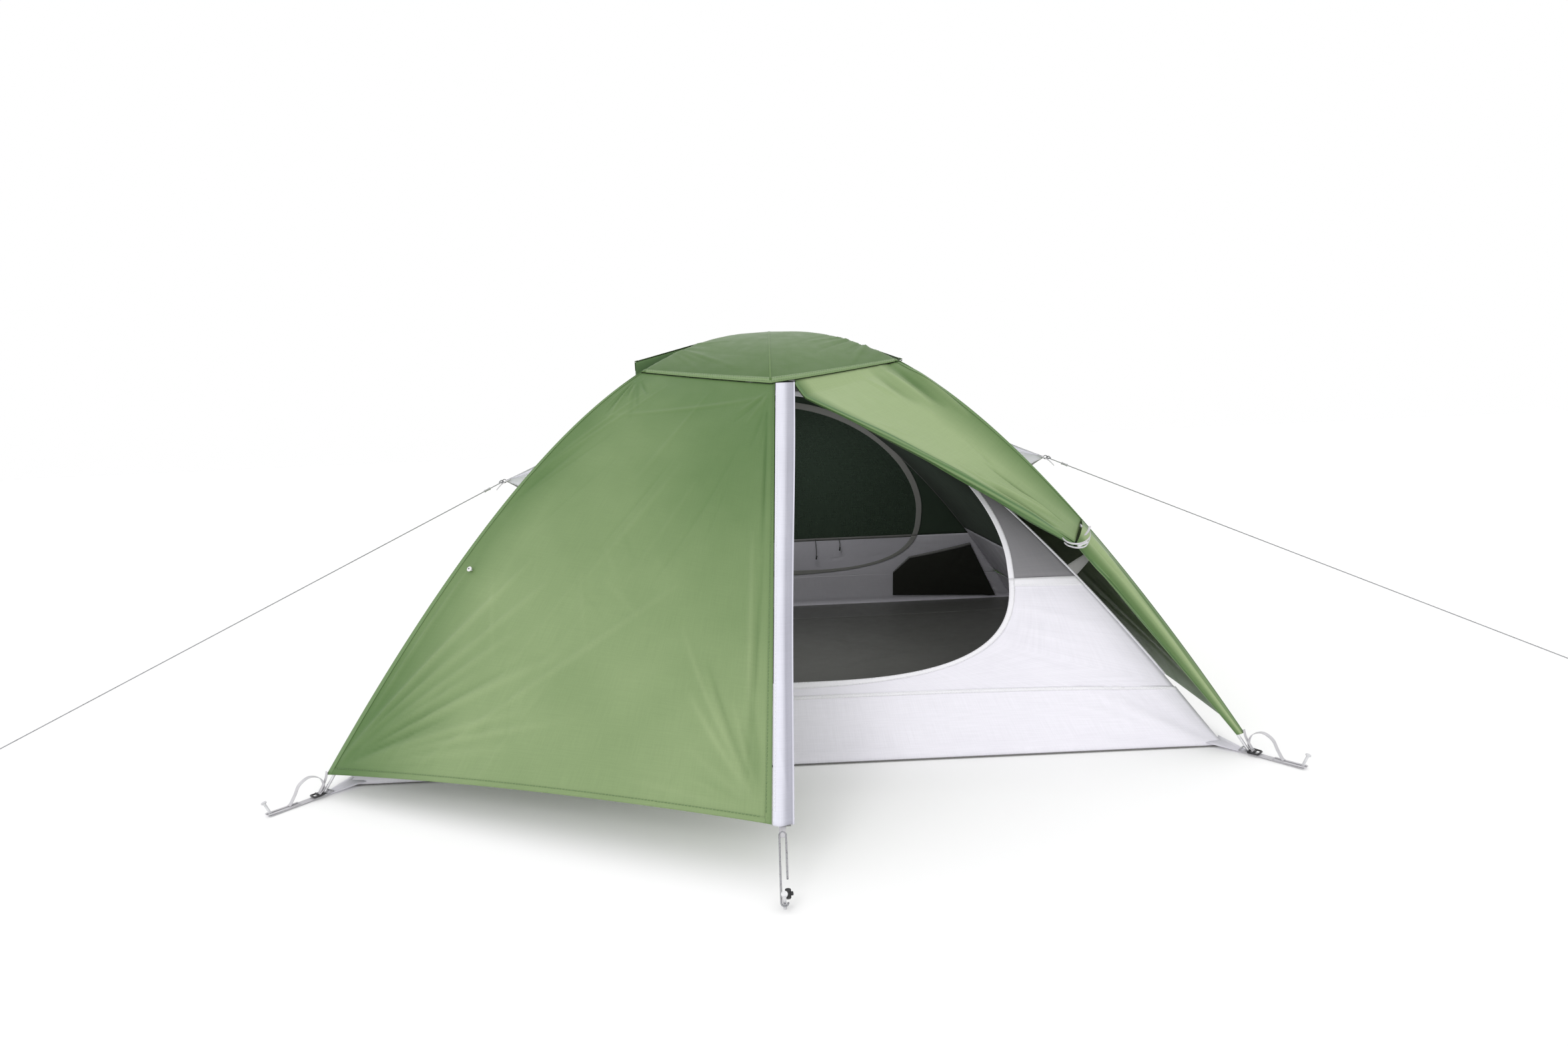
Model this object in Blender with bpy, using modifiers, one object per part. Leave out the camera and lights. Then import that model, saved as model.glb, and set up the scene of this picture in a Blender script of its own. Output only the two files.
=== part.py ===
"""Freestanding two-door dome tent, pitched with its guylines out.

Two long poles cross at the apex, and a short ridge pole runs over them from door to door.
The inner tent hangs under the poles, and the fly lies over them with a gap. Metres, +Z up,
origin on the ground under the apex. X runs along the tent's length, and the open door
faces -Y. The closed door faces +Y.
"""
import math

import bmesh
import bpy
from mathutils import Matrix, Vector

# ---- overall sizes ----
FLOOR_LENGTH = 2.13          # tub floor along X
FLOOR_WIDTH = 1.73           # tub floor along Y
FLY_HEIGHT = 1.135           # top of the fly above the ground
INNER_HEIGHT = FLY_HEIGHT - 0.175    # top of the inner tent
VESTIBULE_DEPTH = 0.465      # fly's closing line beyond the floor's edge, at the hem
HEM_HEIGHT = 0.05            # fly hem above the ground at its corners
HEM_RISE = 0.05              # extra hem height at the door's closing line

# ---- poles ----
POLE_RADIUS = 0.0045
POLE_WALL = 0.0009
FOOT_OUT = 0.035             # pole foot beyond the floor's corner, along X
FOOT_SIDE = 0.045            # and along Y
POLE_STACK = 2 * POLE_RADIUS + 0.001    # centre to centre where one pole crosses another
POLE_UNDER_FLY = 2 * POLE_STACK + POLE_RADIUS + 0.0105   # lower main pole, centre to fly
POLE_END = 0.962             # share of the half span where the last section ends
SECTION_JOINT = 0.36         # share of the half span where two sections meet
JOINT_GAP = 0.0006
FERRULE_CLEARANCE = 0.0004
FERRULE_WALL = 0.0006
FERRULE_HALF_LENGTH = 0.035
SHOCK_CORD_RADIUS = 0.0012
TIP_RADIUS = 0.0036
TIP_LIFT = 0.0062            # centre of the tip's end above the ground

# ---- fly ----
SHEET = 0.0012               # thickness of the coated cloth
SEAM_GAP = 0.0018            # each panel stops this far from its seam
FLY_OVER_POLE_X = 0.012      # fly's pole line outside the pole's own line
FLY_OVER_POLE_Y = 0.012
ROOF_END = 0.345             # share of the half span where the roof panel ends
RIDGE_HALF = 0.50            # half of the ridge pole's reach along Y
RIDGE_DROP = 0.1718 * FLY_HEIGHT     # ridge falls this much from the apex to its ends
CORNER_END = 0.978           # share of the half span where the fly's corner is
END_HEM_ARCH = 0.06          # rise of the hem in the middle of an end panel
TOGGLE_POINT = Vector((0.35 * FLOOR_LENGTH, -0.43 * FLOOR_WIDTH, 0.44 * FLY_HEIGHT))
FLAP_END = 0.72              # share of the half span where the tied-back door gets narrow
STORM_FLAP_TOP = 0.052
STORM_FLAP_BOTTOM = 0.038
CLOSING_TOP_X = 0.012        # closing line is a little right of the middle at its top
CLOSING_BOTTOM_X = -0.030
PEAK_SHARE = 0.007           # share of a closing line left free below the ridge's end

# ---- vent hoods ----
HOOD_HINGE_X = 0.101 * FLOOR_LENGTH
HOOD_LENGTH = 0.212
HOOD_HALF_INNER = 0.087 * FLOOR_WIDTH
HOOD_HALF_OUTER = 0.121 * FLOOR_WIDTH
HOOD_CLEARANCE = 0.003
HOOD_PROP = math.radians(8.0)        # how far a propped hood stands above a shut one

# ---- guy wings and lines ----
WING_TIP_X = 0.434 * FLOOR_LENGTH
WING_TIP_Z = 0.60 * FLY_HEIGHT
WING_TOP = 0.455             # share of the half span where the wing's top meets the fly
WING_BOTTOM = 0.715
WING_GAP = 0.0022
GUY_RADIUS = 0.0016
GUY_STAKE_LEFT = Vector((-2.19, -0.60, 0.0))
GUY_STAKE_RIGHT = Vector((2.36, -0.45, 0.0))
GUY_HOLD = 0.022             # height at which the line meets its stake
TENSIONER_AT = 0.040         # share of the line, counted from the wing
TENSIONER_LENGTH = 0.022
TENSIONER_RADIUS = 0.0045
CORD_CLEARANCE = 0.0010

# ---- inner tent ----
TUB_HEIGHT = 0.15
CANOPY_TOP_HALF = 0.4042      # half of the canopy's reach along Y at its top
CANOPY_POWER = 1.7           # shape of the canopy's arch
WALL_THICKNESS = 0.0012
PIECE_GAP = 0.0004
DOOR_HALF_WIDTH = 0.28 * FLOOR_LENGTH
DOOR_BOTTOM = TUB_HEIGHT + 0.03
DOOR_MIDDLE = 0.46 * INNER_HEIGHT
DOOR_TOP = INNER_HEIGHT - 0.045
DOOR_ARCH = 1.8              # exponent of the door's upper half
DOOR_SQUARENESS = 2.6        # and of its lower half
DOOR_ROLL_RADIUS = 0.026

# ---- corners, stakes and pull-outs ----
STRAP_LENGTH = 0.162
STRAP_WIDTH = 0.020
STRAP_THICKNESS = 0.0018
STRAP_LIFT = 0.0006
STAKE_RADIUS = 0.0030
STAKE_HEIGHT = 0.036         # part above the ground
STAKE_HEAD_RADIUS = 0.0058
STAKE_HEAD_HEIGHT = 0.003
STAKE_TILT = math.radians(20.0)
STAKE_HOLE_CLEARANCE = 0.0014
PULLOUT_REACH = 0.108        # from the fly's hem to the stake, along Y
PULLOUT_HALF_WIDTH = 0.006
PULLOUT_RADIUS = 0.0015
STAKE_IN_LOOP = 0.0010       # clearance between a stake and the cord round it
LOCK_LENGTH = 0.016
LOCK_RADIUS = 0.0055
TOGGLE_LENGTH = 0.026
TOGGLE_RADIUS = 0.0038
BUTTON_RADIUS = 0.0065
BUTTON_THICKNESS = 0.003
SLIDER_LENGTH = 0.018
SLIDER_WIDTH = 0.010
SLIDER_THICKNESS = 0.005
SLIDER_GAP = 0.0012

# ---- sizes that follow from the ones above ----
FOOT_X = FLOOR_LENGTH / 2 + FOOT_OUT
FOOT_Y = FLOOR_WIDTH / 2 + FOOT_SIDE
FLY_X = FOOT_X + FLY_OVER_POLE_X
FLY_Y = FOOT_Y + FLY_OVER_POLE_Y
POLE_A_HEIGHT = FLY_HEIGHT - POLE_UNDER_FLY
POLE_B_HEIGHT = POLE_A_HEIGHT + POLE_STACK
RIDGE_HEIGHT = POLE_B_HEIGHT + POLE_STACK
PEAK_Z = FLY_HEIGHT - RIDGE_DROP
WALL_LEAN = (FLOOR_WIDTH / 2 - CANOPY_TOP_HALF) / INNER_HEIGHT    # per metre of height
CLOSING_BOTTOM_Y = FLOOR_WIDTH / 2 + VESTIBULE_DEPTH
HEM_MIDDLE = HEM_HEIGHT + HEM_RISE
HOOD_REACH = HOOD_HINGE_X + 0.9 * HOOD_LENGTH
SHUT_DROP = FLY_HEIGHT * (HOOD_REACH ** 2 - HOOD_HINGE_X ** 2) / FLY_X ** 2
HOOD_SHUT_TILT = math.atan(SHUT_DROP / HOOD_LENGTH) - math.radians(3.9)
HOOD_OPEN_TILT = HOOD_SHUT_TILT - HOOD_PROP
BORE_RADIUS = POLE_RADIUS - POLE_WALL
FERRULE_RADIUS = BORE_RADIUS - FERRULE_CLEARANCE

GREEN = (0.16, 0.32, 0.12)
DARK_GREEN = (0.10, 0.22, 0.08)
WHITE = (0.80, 0.79, 0.84)
GREY = (0.16, 0.16, 0.16)
SILVER = (0.72, 0.72, 0.72)
BLACK = (0.02, 0.02, 0.02)


# ---------------------------------------------------------------- helpers
def clear_scene():
    for old in list(bpy.data.objects):
        bpy.data.objects.remove(old, do_unlink=True)


def new_collection(name):
    collection = bpy.data.collections.new(name)
    bpy.context.scene.collection.children.link(collection)
    return collection


def give_material(thing, colour, roughness, metallic=0.0):
    material = bpy.data.materials.new(thing.name + "_material")
    material.use_nodes = True
    shader = material.node_tree.nodes["Principled BSDF"]
    shader.inputs["Base Color"].default_value = (*colour, 1.0)
    shader.inputs["Roughness"].default_value = roughness
    shader.inputs["Metallic"].default_value = metallic
    thing.data.materials.append(material)


def add_object(name, data, colour, roughness=0.6, metallic=0.0):
    thing = bpy.data.objects.new(name, data)
    PARTS.objects.link(thing)
    give_material(thing, colour, roughness, metallic)
    return thing


def smooth(thing, degrees=35):
    thing.data.shade_smooth()
    thing.data.set_sharp_from_angle(angle=math.radians(degrees))


def solidify(thing, thickness, offset=0.0):
    modifier = thing.modifiers.new("thickness", 'SOLIDIFY')
    modifier.thickness = thickness
    modifier.offset = offset
    modifier.use_even_offset = False


def grid_sheet(name, rows, thickness, colour, roughness=0.6):
    """A sheet of cloth through rows of points, each row as long as the next."""
    mesh = bpy.data.meshes.new(name)
    model = bmesh.new()
    verts = [[model.verts.new(point) for point in row] for row in rows]
    for upper, lower in zip(verts, verts[1:]):
        for i in range(len(upper) - 1):
            model.faces.new((upper[i], upper[i + 1], lower[i + 1], lower[i]))
    model.to_mesh(mesh)
    model.free()
    sheet = add_object(name, mesh, colour, roughness)
    solidify(sheet, thickness)
    smooth(sheet)
    return sheet


def flat_outline(name, outlines, thickness, colour, roughness=0.6):
    """A flat piece in its own XY plane: the first outline, less the ones inside it."""
    curve = bpy.data.curves.new(name, 'CURVE')
    curve.dimensions = '2D'
    curve.fill_mode = 'BOTH'
    curve.extrude = thickness / 2
    for outline in outlines:
        spline = curve.splines.new('POLY')
        spline.points.add(len(outline) - 1)
        for point, (x, y) in zip(spline.points, outline):
            point.co = (x, y, 0.0, 1.0)
        spline.use_cyclic_u = True
    return weld_caps(add_object(name, curve, colour, roughness))


def weld_caps(piece):
    """Turns a curve into a mesh whose caps are joined to its sides."""
    name = piece.name
    material = piece.data.materials[0]
    graph = bpy.context.evaluated_depsgraph_get()
    mesh = bpy.data.meshes.new_from_object(piece.evaluated_get(graph))
    model = bmesh.new()
    model.from_mesh(mesh)
    bmesh.ops.remove_doubles(model, verts=model.verts, dist=0.00001)
    model.to_mesh(mesh)
    model.free()
    matrix = piece.matrix_world.copy()
    bpy.data.objects.remove(piece, do_unlink=True)
    mesh.materials.clear()
    mesh.materials.append(material)
    welded = bpy.data.objects.new(name, mesh)
    PARTS.objects.link(welded)
    welded.matrix_world = matrix
    return welded


def round_line(name, points, radius, colour, wall=None, cyclic=False, sizes=None,
               resolution=2, roughness=0.4, metallic=0.0):
    """A round rod or cord through points, or a tube when a wall is given."""
    curve = bpy.data.curves.new(name, 'CURVE')
    curve.dimensions = '3D'
    curve.twist_mode = 'Z_UP'
    curve.bevel_depth = radius
    curve.bevel_resolution = resolution
    curve.use_fill_caps = wall is None and not cyclic
    spline = curve.splines.new('POLY')
    spline.points.add(len(points) - 1)
    for index, point in enumerate(points):
        spline.points[index].co = (*point, 1.0)
        spline.points[index].radius = sizes[index] if sizes else 1.0
    spline.use_cyclic_u = cyclic
    line = add_object(name, curve, colour, roughness, metallic)
    if wall is not None:
        solidify(line, wall, offset=-1.0)
    return line


def turned(name, profile, colour, sides=12, roughness=0.4, metallic=0.0):
    """A turned solid from (radius, height) points that run down its outer side."""
    mesh = bpy.data.meshes.new(name)
    model = bmesh.new()
    verts = [model.verts.new((radius, 0.0, height)) for radius, height in profile]
    for first, second in zip(verts, verts[1:]):
        model.edges.new((first, second))
    if profile[0][0] > 0:
        model.edges.new((verts[-1], verts[0]))
    model.to_mesh(mesh)
    model.free()
    piece = add_object(name, mesh, colour, roughness, metallic)
    screw = piece.modifiers.new("turn", 'SCREW')
    screw.steps = sides
    screw.render_steps = sides
    screw.use_merge_vertices = True
    screw.merge_threshold = 0.00001
    return piece


def box(name, size, colour, roughness=0.5, metallic=0.0):
    mesh = bpy.data.meshes.new(name)
    model = bmesh.new()
    bmesh.ops.create_cube(model, size=1.0)
    bmesh.ops.scale(model, vec=size, verts=model.verts)
    model.to_mesh(mesh)
    model.free()
    return add_object(name, mesh, colour, roughness, metallic)


def aim(thing, place, direction, spin=0.0):
    """Puts a piece at place with its local +Z along direction."""
    turn = direction.to_track_quat('Z', 'Y').to_matrix().to_4x4()
    thing.matrix_world = Matrix.Translation(place) @ turn @ Matrix.Rotation(spin, 4, 'Z')


def toward(start, end, distance):
    """The point this far from start on the way to end."""
    return start + (end - start).normalized() * distance


# ---------------------------------------------------------------- shapes that pieces share
def pole_point(share, side, height):
    """Point of a main pole: share runs from -1 to 1, and side is its Y over X sign."""
    return Vector((FOOT_X * share, side * FOOT_Y * share, height * (1 - share * share)))


def fly_point(share, end, door):
    """Point of the fly over a pole: end is the sign of X, and door the sign of Y."""
    return Vector((end * FLY_X * share, door * FLY_Y * share, FLY_HEIGHT * (1 - share ** 2)))


def ridge_z(y, top):
    return top - RIDGE_DROP * (y / RIDGE_HALF) ** 2


def roof_height(x, y):
    """Height of the roof panel: tight across the ends, and from pole to ridge at the doors."""
    across = abs(x) / FLY_X
    along = abs(y) / FLY_Y
    if along <= across:
        return FLY_HEIGHT * (1 - across ** 2)
    share = across / along
    over_pole = FLY_HEIGHT * (1 - along ** 2)
    return ridge_z(y, FLY_HEIGHT) * (1 - share) + over_pole * share


def canopy_height(x):
    return INNER_HEIGHT * (1 - abs(x / (FLOOR_LENGTH / 2)) ** CANOPY_POWER)


def canopy_half_length(z):
    return FLOOR_LENGTH / 2 * (1 - z / INNER_HEIGHT) ** (1 / CANOPY_POWER)


def wall_y(z):
    """Distance of a door wall from the middle at height z."""
    return FLOOR_WIDTH / 2 - WALL_LEAN * z


def closing_point(share):
    """Point of the front door's closing line, from the peak down to the hem."""
    top = Vector((CLOSING_TOP_X, -RIDGE_HALF, PEAK_Z))
    bottom = Vector((CLOSING_BOTTOM_X, -CLOSING_BOTTOM_Y, HEM_MIDDLE))
    return top.lerp(bottom, share)


def spread(count, low=0.0, high=1.0):
    return [low + (high - low) * i / (count - 1) for i in range(count)]


# ---------------------------------------------------------------- poles
def pole_path(low, high, side, height, stations=9):
    return [pole_point(share, side, height) for share in spread(stations, low, high)]


def make_main_pole(name, side, height):
    cuts = [(-POLE_END, -SECTION_JOINT), (-SECTION_JOINT, SECTION_JOINT),
            (SECTION_JOINT, POLE_END)]
    paths = [pole_path(low, high, side, height) for low, high in cuts]
    cord = [toward(paths[0][0], paths[0][1], JOINT_GAP)] + paths[0][1:]
    cord += paths[1][1:] + paths[2][1:-1]
    cord.append(toward(paths[2][-1], paths[2][-2], JOINT_GAP))
    for number, path in enumerate(paths, start=1):
        shown = list(path)
        shown[0] = toward(path[0], path[1], JOINT_GAP / 2)
        shown[-1] = toward(path[-1], path[-2], JOINT_GAP / 2)
        round_line(f"{name}_section_{number}", shown, POLE_RADIUS, SILVER, wall=POLE_WALL,
                   roughness=0.3, metallic=0.9)
    for number in (1, 2):
        before = paths[number - 1]
        after = paths[number]
        route = [toward(before[-1], before[-2], FERRULE_HALF_LENGTH), after[0],
                 toward(after[0], after[1], FERRULE_HALF_LENGTH)]
        round_line(f"{name}_ferrule_{number}", route, FERRULE_RADIUS, SILVER,
                   wall=FERRULE_WALL, roughness=0.3, metallic=0.9)
    round_line(f"{name}_shock_cord", cord, SHOCK_CORD_RADIUS, BLACK, resolution=1,
               roughness=0.8)


def make_pole_tips():
    corners = {"front_left": (-1, 1, POLE_A_HEIGHT), "rear_right": (1, 1, POLE_A_HEIGHT),
               "front_right": (1, -1, POLE_B_HEIGHT), "rear_left": (-1, -1, POLE_B_HEIGHT)}
    for corner, (end, side, height) in corners.items():
        top = pole_point(end * POLE_END, side, height)
        foot_share = math.sqrt(1 - TIP_LIFT / height)
        foot = pole_point(end * foot_share, side, height)
        start = toward(top, foot, JOINT_GAP)
        neck = start.lerp(foot, 0.45)
        sizes = [POLE_RADIUS / TIP_RADIUS, POLE_RADIUS / TIP_RADIUS, 1.0, 1.0]
        points = [start, neck, toward(neck, foot, POLE_RADIUS), foot]
        round_line(f"pole_tip_{corner}", points, TIP_RADIUS, SILVER, sizes=sizes,
                   roughness=0.35, metallic=0.8)


def make_ridge_pole():
    reach = RIDGE_HALF - 2 * POLE_RADIUS
    path = [Vector((0.0, y, ridge_z(y, RIDGE_HEIGHT)))
            for y in spread(13, -reach, reach)]
    round_line("ridge_pole", path, POLE_RADIUS, SILVER, roughness=0.3, metallic=0.9)


# ---------------------------------------------------------------- fly
def make_roof():
    """A fan of rings round the apex, so its folds lie on the poles and on the ridge."""
    end_x = FLY_X * ROOF_END - SEAM_GAP
    end_y = FLY_Y * ROOF_END
    peak = RIDGE_HALF - SEAM_GAP
    corners = [(end_x, -end_y), (end_x, end_y), (0.0, peak), (-end_x, end_y),
               (-end_x, -end_y), (0.0, -peak)]
    outline = []
    for first, second in zip(corners, corners[1:] + corners[:1]):
        for step in range(3):
            share = step / 3
            outline.append((first[0] + (second[0] - first[0]) * share,
                            first[1] + (second[1] - first[1]) * share))
    mesh = bpy.data.meshes.new("fly_roof")
    model = bmesh.new()
    centre = model.verts.new((0.0, 0.0, roof_height(0.0, 0.0)))
    rings = []
    for scale in (0.25, 0.5, 0.75, 1.0):
        ring = [model.verts.new((x * scale, y * scale, roof_height(x * scale, y * scale)))
                for x, y in outline]
        rings.append(ring)
    count = len(outline)
    for i in range(count):
        model.faces.new((centre, rings[0][i], rings[0][(i + 1) % count]))
    for inner, outer in zip(rings, rings[1:]):
        for i in range(count):
            after = (i + 1) % count
            model.faces.new((inner[i], outer[i], outer[after], inner[after]))
    model.to_mesh(mesh)
    model.free()
    roof = add_object("fly_roof", mesh, DARK_GREEN)
    solidify(roof, SHEET)
    smooth(roof)


def make_end_panel(name, end):
    """Stretched from the front pole to the rear pole at one end of the tent."""
    rows = []
    roof_share = ROOF_END + SEAM_GAP / FLY_X
    for share in spread(9, roof_share, CORNER_END):
        edge = fly_point(share, end, 1)
        half = edge.y - SEAM_GAP
        low = ((share - roof_share) / (CORNER_END - roof_share)) ** 8
        rows.append([])
        for across in spread(9, -1.0, 1.0):
            arch = END_HEM_ARCH * low * (1 - across ** 2)
            lifted = share if arch == 0 else math.sqrt(1 - (edge.z + arch) / FLY_HEIGHT)
            rows[-1].append(Vector((end * FLY_X * lifted, half * across, edge.z + arch)))
    grid_sheet(name, rows, SHEET, GREEN)


def door_rows(end, door, middle, top_share, bottom_share, columns, count):
    """Rows from the pole's line across to the door's middle line, from roof to hem."""
    rows = []
    for share, along in zip(spread(count, top_share, bottom_share), spread(count)):
        over_pole = fly_point(share, end, door)
        centre = middle(along)
        start = toward(over_pole, centre, SEAM_GAP)
        stop = toward(centre, over_pole, SEAM_GAP)
        rows.append([start.lerp(stop, across) for across in spread(columns)])
    return rows


def make_front_left():
    top = ROOF_END + 2.2 * SEAM_GAP
    def middle(along):
        return closing_point(PEAK_SHARE + (1 - PEAK_SHARE) * along)
    rows = door_rows(-1, -1, middle, top, CORNER_END, 7, 10)
    grid_sheet("fly_front_left", rows, SHEET, GREEN)
    return rows


def make_rear():
    def middle(along):
        share = PEAK_SHARE + (1 - PEAK_SHARE) * along
        top = Vector((0.0, RIDGE_HALF, PEAK_Z))
        return top.lerp(Vector((0.0, CLOSING_BOTTOM_Y, HEM_MIDDLE)), share)
    top = ROOF_END + 2.2 * SEAM_GAP
    left = door_rows(-1, 1, middle, top, CORNER_END, 6, 10)
    right = door_rows(1, 1, middle, top, CORNER_END, 6, 10)
    rows = []
    for i, (one, other) in enumerate(zip(left, right)):
        centre = middle(i / (len(left) - 1))
        rows.append(one[:-1] + [centre] + other[:-1][::-1])
    grid_sheet("fly_rear", rows, SHEET, GREEN)


def make_tied_back_door():
    """The right half of the front door: a tight flap above its toggle, a band below it."""
    flap_top = closing_point(PEAK_SHARE) + Vector((STORM_FLAP_TOP + 2 * SEAM_GAP, 0.0, 0.0))
    top = ROOF_END + 2.2 * SEAM_GAP
    upper = door_rows(1, -1, lambda along: flap_top.lerp(TOGGLE_POINT, along), top,
                      FLAP_END, 6, 8)
    grid_sheet("fly_door_flap", upper, SHEET, GREEN)
    corner = fly_point(CORNER_END, 1, -1)
    corner_inner = corner + Vector((-0.012, -0.010, 0.0))
    start = FLAP_END + SEAM_GAP / FLY_X
    first = toward(TOGGLE_POINT, corner_inner, SEAM_GAP * 1.5)
    lower = door_rows(1, -1, lambda along: first.lerp(corner_inner, along), start,
                      CORNER_END, 4, 8)
    grid_sheet("fly_door_band", lower, SHEET, GREEN)


def make_storm_flap():
    rows = []
    for along in spread(8, 0.003, 1.0):
        left = closing_point(along)
        width = STORM_FLAP_TOP + (STORM_FLAP_BOTTOM - STORM_FLAP_TOP) * along
        right = left + Vector((width, 0.0, 0.0))
        rows.append([left.lerp(right, across) for across in (0.0, 0.5, 1.0)])
    flap = grid_sheet("storm_flap", rows, SHEET, WHITE)
    flap.location = (SEAM_GAP, 0.0, 0.0)


def make_door_slider():
    """Zip slider of the front door, under the storm flap, parked near the peak."""
    down = (closing_point(1.0) - closing_point(0.0)).normalized()
    inward = Vector((1.0, 0.0, 0.0)).cross(down).normalized()
    if inward.y < 0:
        inward = -inward
    place = closing_point(0.06) + Vector((STORM_FLAP_BOTTOM * 0.55, 0.0, 0.0))
    place += inward * (SLIDER_GAP + (SLIDER_THICKNESS + SHEET) / 2)
    slider = box("door_zip_slider", (SLIDER_WIDTH, SLIDER_THICKNESS, SLIDER_LENGTH), BLACK)
    aim(slider, place, down)


def make_wing(name, end):
    """Triangular guy wing that stands out from the middle of an end panel."""
    base = []
    for share in spread(8, WING_BOTTOM, WING_TOP):
        x = FLY_X * share
        z = FLY_HEIGHT * (1 - share ** 2)
        normal = Vector((2 * FLY_HEIGHT * share / FLY_X, 0.0, 1.0)).normalized()
        base.append((x + normal.x * WING_GAP, z + normal.z * WING_GAP))
    outline = base + [(WING_TIP_X, WING_TIP_Z)]
    wing = flat_outline(name, [[(end * x, z) for x, z in outline]], SHEET, WHITE)
    wing.rotation_euler = (math.pi / 2, 0.0, 0.0)


def make_vent_hood(name, end, tilt):
    """A stiff visor over the vent, its origin on its hinge at the roof."""
    outline = [(0.0, -HOOD_HALF_INNER), (HOOD_LENGTH, -HOOD_HALF_OUTER),
               (HOOD_LENGTH, HOOD_HALF_OUTER), (0.0, HOOD_HALF_INNER)]
    hood = flat_outline(name, [outline], SHEET, DARK_GREEN)
    hinge_z = roof_height(HOOD_HINGE_X, 0.0) + HOOD_CLEARANCE
    hood.location = (end * HOOD_HINGE_X, 0.0, hinge_z)
    hood.rotation_euler = (0.0, tilt, 0.0 if end > 0 else math.pi)


# ---------------------------------------------------------------- inner tent
def make_tub():
    """Bathtub floor: a flat sheet with low walls that lean in."""
    half_x = FLOOR_LENGTH / 2
    half_y = FLOOR_WIDTH / 2
    top_x = canopy_half_length(TUB_HEIGHT)
    top_y = wall_y(TUB_HEIGHT)
    mesh = bpy.data.meshes.new("tub_floor")
    model = bmesh.new()
    signs = [(-1, -1), (1, -1), (1, 1), (-1, 1)]
    low = [model.verts.new((sx * half_x, sy * half_y, 0.0)) for sx, sy in signs]
    high = [model.verts.new((sx * top_x, sy * top_y, TUB_HEIGHT)) for sx, sy in signs]
    model.faces.new(low[::-1])
    for i in range(4):
        after = (i + 1) % 4
        model.faces.new((low[i], low[after], high[after], high[i]))
    model.to_mesh(mesh)
    model.free()
    tub = add_object("tub_floor", mesh, GREY)
    solidify(tub, WALL_THICKNESS, offset=-1.0)
    tub.modifiers["thickness"].use_even_offset = True


def door_outline(inset=0.0):
    """Rounded door: an arch above and a squarer half below, as (x, height) points."""
    half = DOOR_HALF_WIDTH - inset
    halves = ((0.0, DOOR_ARCH, DOOR_TOP - DOOR_MIDDLE - inset, 12),
              (math.pi, DOOR_SQUARENESS, DOOR_MIDDLE - DOOR_BOTTOM - inset, 16))
    points = []
    for first, squareness, reach, steps in halves:
        power = 2 / squareness
        for step in range(steps):
            angle = first + math.pi * step / steps
            x = math.copysign(half * abs(math.cos(angle)) ** power, math.cos(angle))
            rise = math.copysign(reach * abs(math.sin(angle)) ** power, math.sin(angle))
            points.append((x, DOOR_MIDDLE + rise))
    return points


def wall_outline():
    """Door wall from the tub's rim up under the canopy, as (x, height) points."""
    gap = 3 * PIECE_GAP
    right = []
    for z in spread(9, TUB_HEIGHT + gap, INNER_HEIGHT * 0.985):
        right.append((canopy_half_length(z + gap) - 2 * gap, z))
    left = [(-x, z) for x, z in reversed(right)]
    return right + left


def place_wall(wall, door):
    """Stands a flat wall outline up in the plane of a door wall."""
    lean = math.atan(WALL_LEAN)
    stretch = 1 / math.cos(lean)
    wall.data.transform(Matrix.Diagonal((1.0, stretch, 1.0, 1.0)))
    wall.rotation_euler = (math.pi / 2 + door * lean, 0.0, 0.0)
    wall.location = (0.0, door * FLOOR_WIDTH / 2, 0.0)


def make_door_walls():
    front = flat_outline("inner_front_wall", [wall_outline(), door_outline()],
                         WALL_THICKNESS, WHITE)
    place_wall(front, -1)
    rear = flat_outline("inner_rear_wall", [wall_outline(), door_outline()],
                        WALL_THICKNESS, WHITE)
    place_wall(rear, 1)
    door = flat_outline("inner_rear_door", [door_outline(inset=PIECE_GAP)],
                        WALL_THICKNESS, WHITE)
    place_wall(door, 1)


def make_canopy():
    """Mesh canopy: one sheet up over the tent from the tub's left rim to its right rim."""
    gap = 3 * PIECE_GAP
    rim = canopy_half_length(TUB_HEIGHT + gap)
    rows = []
    for share in spread(21, -1.0, 1.0):
        x = rim * math.copysign(abs(share) ** 0.9, share)
        z = canopy_height(x)
        half = wall_y(z) - gap
        rows.append([Vector((x, half * across, z)) for across in spread(3, -1.0, 1.0)])
    grid_sheet("inner_canopy", rows, WALL_THICKNESS, GREY)


def make_door_roll():
    """The inner front door, rolled up and tied beside the left edge of its opening."""
    offset = DOOR_ROLL_RADIUS + 0.008
    points = []
    for step in range(9):
        angle = math.pi * (0.66 + 0.62 * step / 8)
        x = (DOOR_HALF_WIDTH + 0.012) * math.cos(angle)
        rise = DOOR_TOP - DOOR_MIDDLE if math.sin(angle) > 0 else DOOR_MIDDLE - DOOR_BOTTOM
        z = DOOR_MIDDLE + rise * math.sin(angle)
        points.append(Vector((x, -wall_y(z) - offset, z)))
    sizes = [0.55, 0.8, 1.0, 1.0, 1.0, 1.0, 1.0, 0.8, 0.55]
    round_line("inner_door_roll", points, DOOR_ROLL_RADIUS, GREY, sizes=sizes, roughness=0.8)


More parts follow.
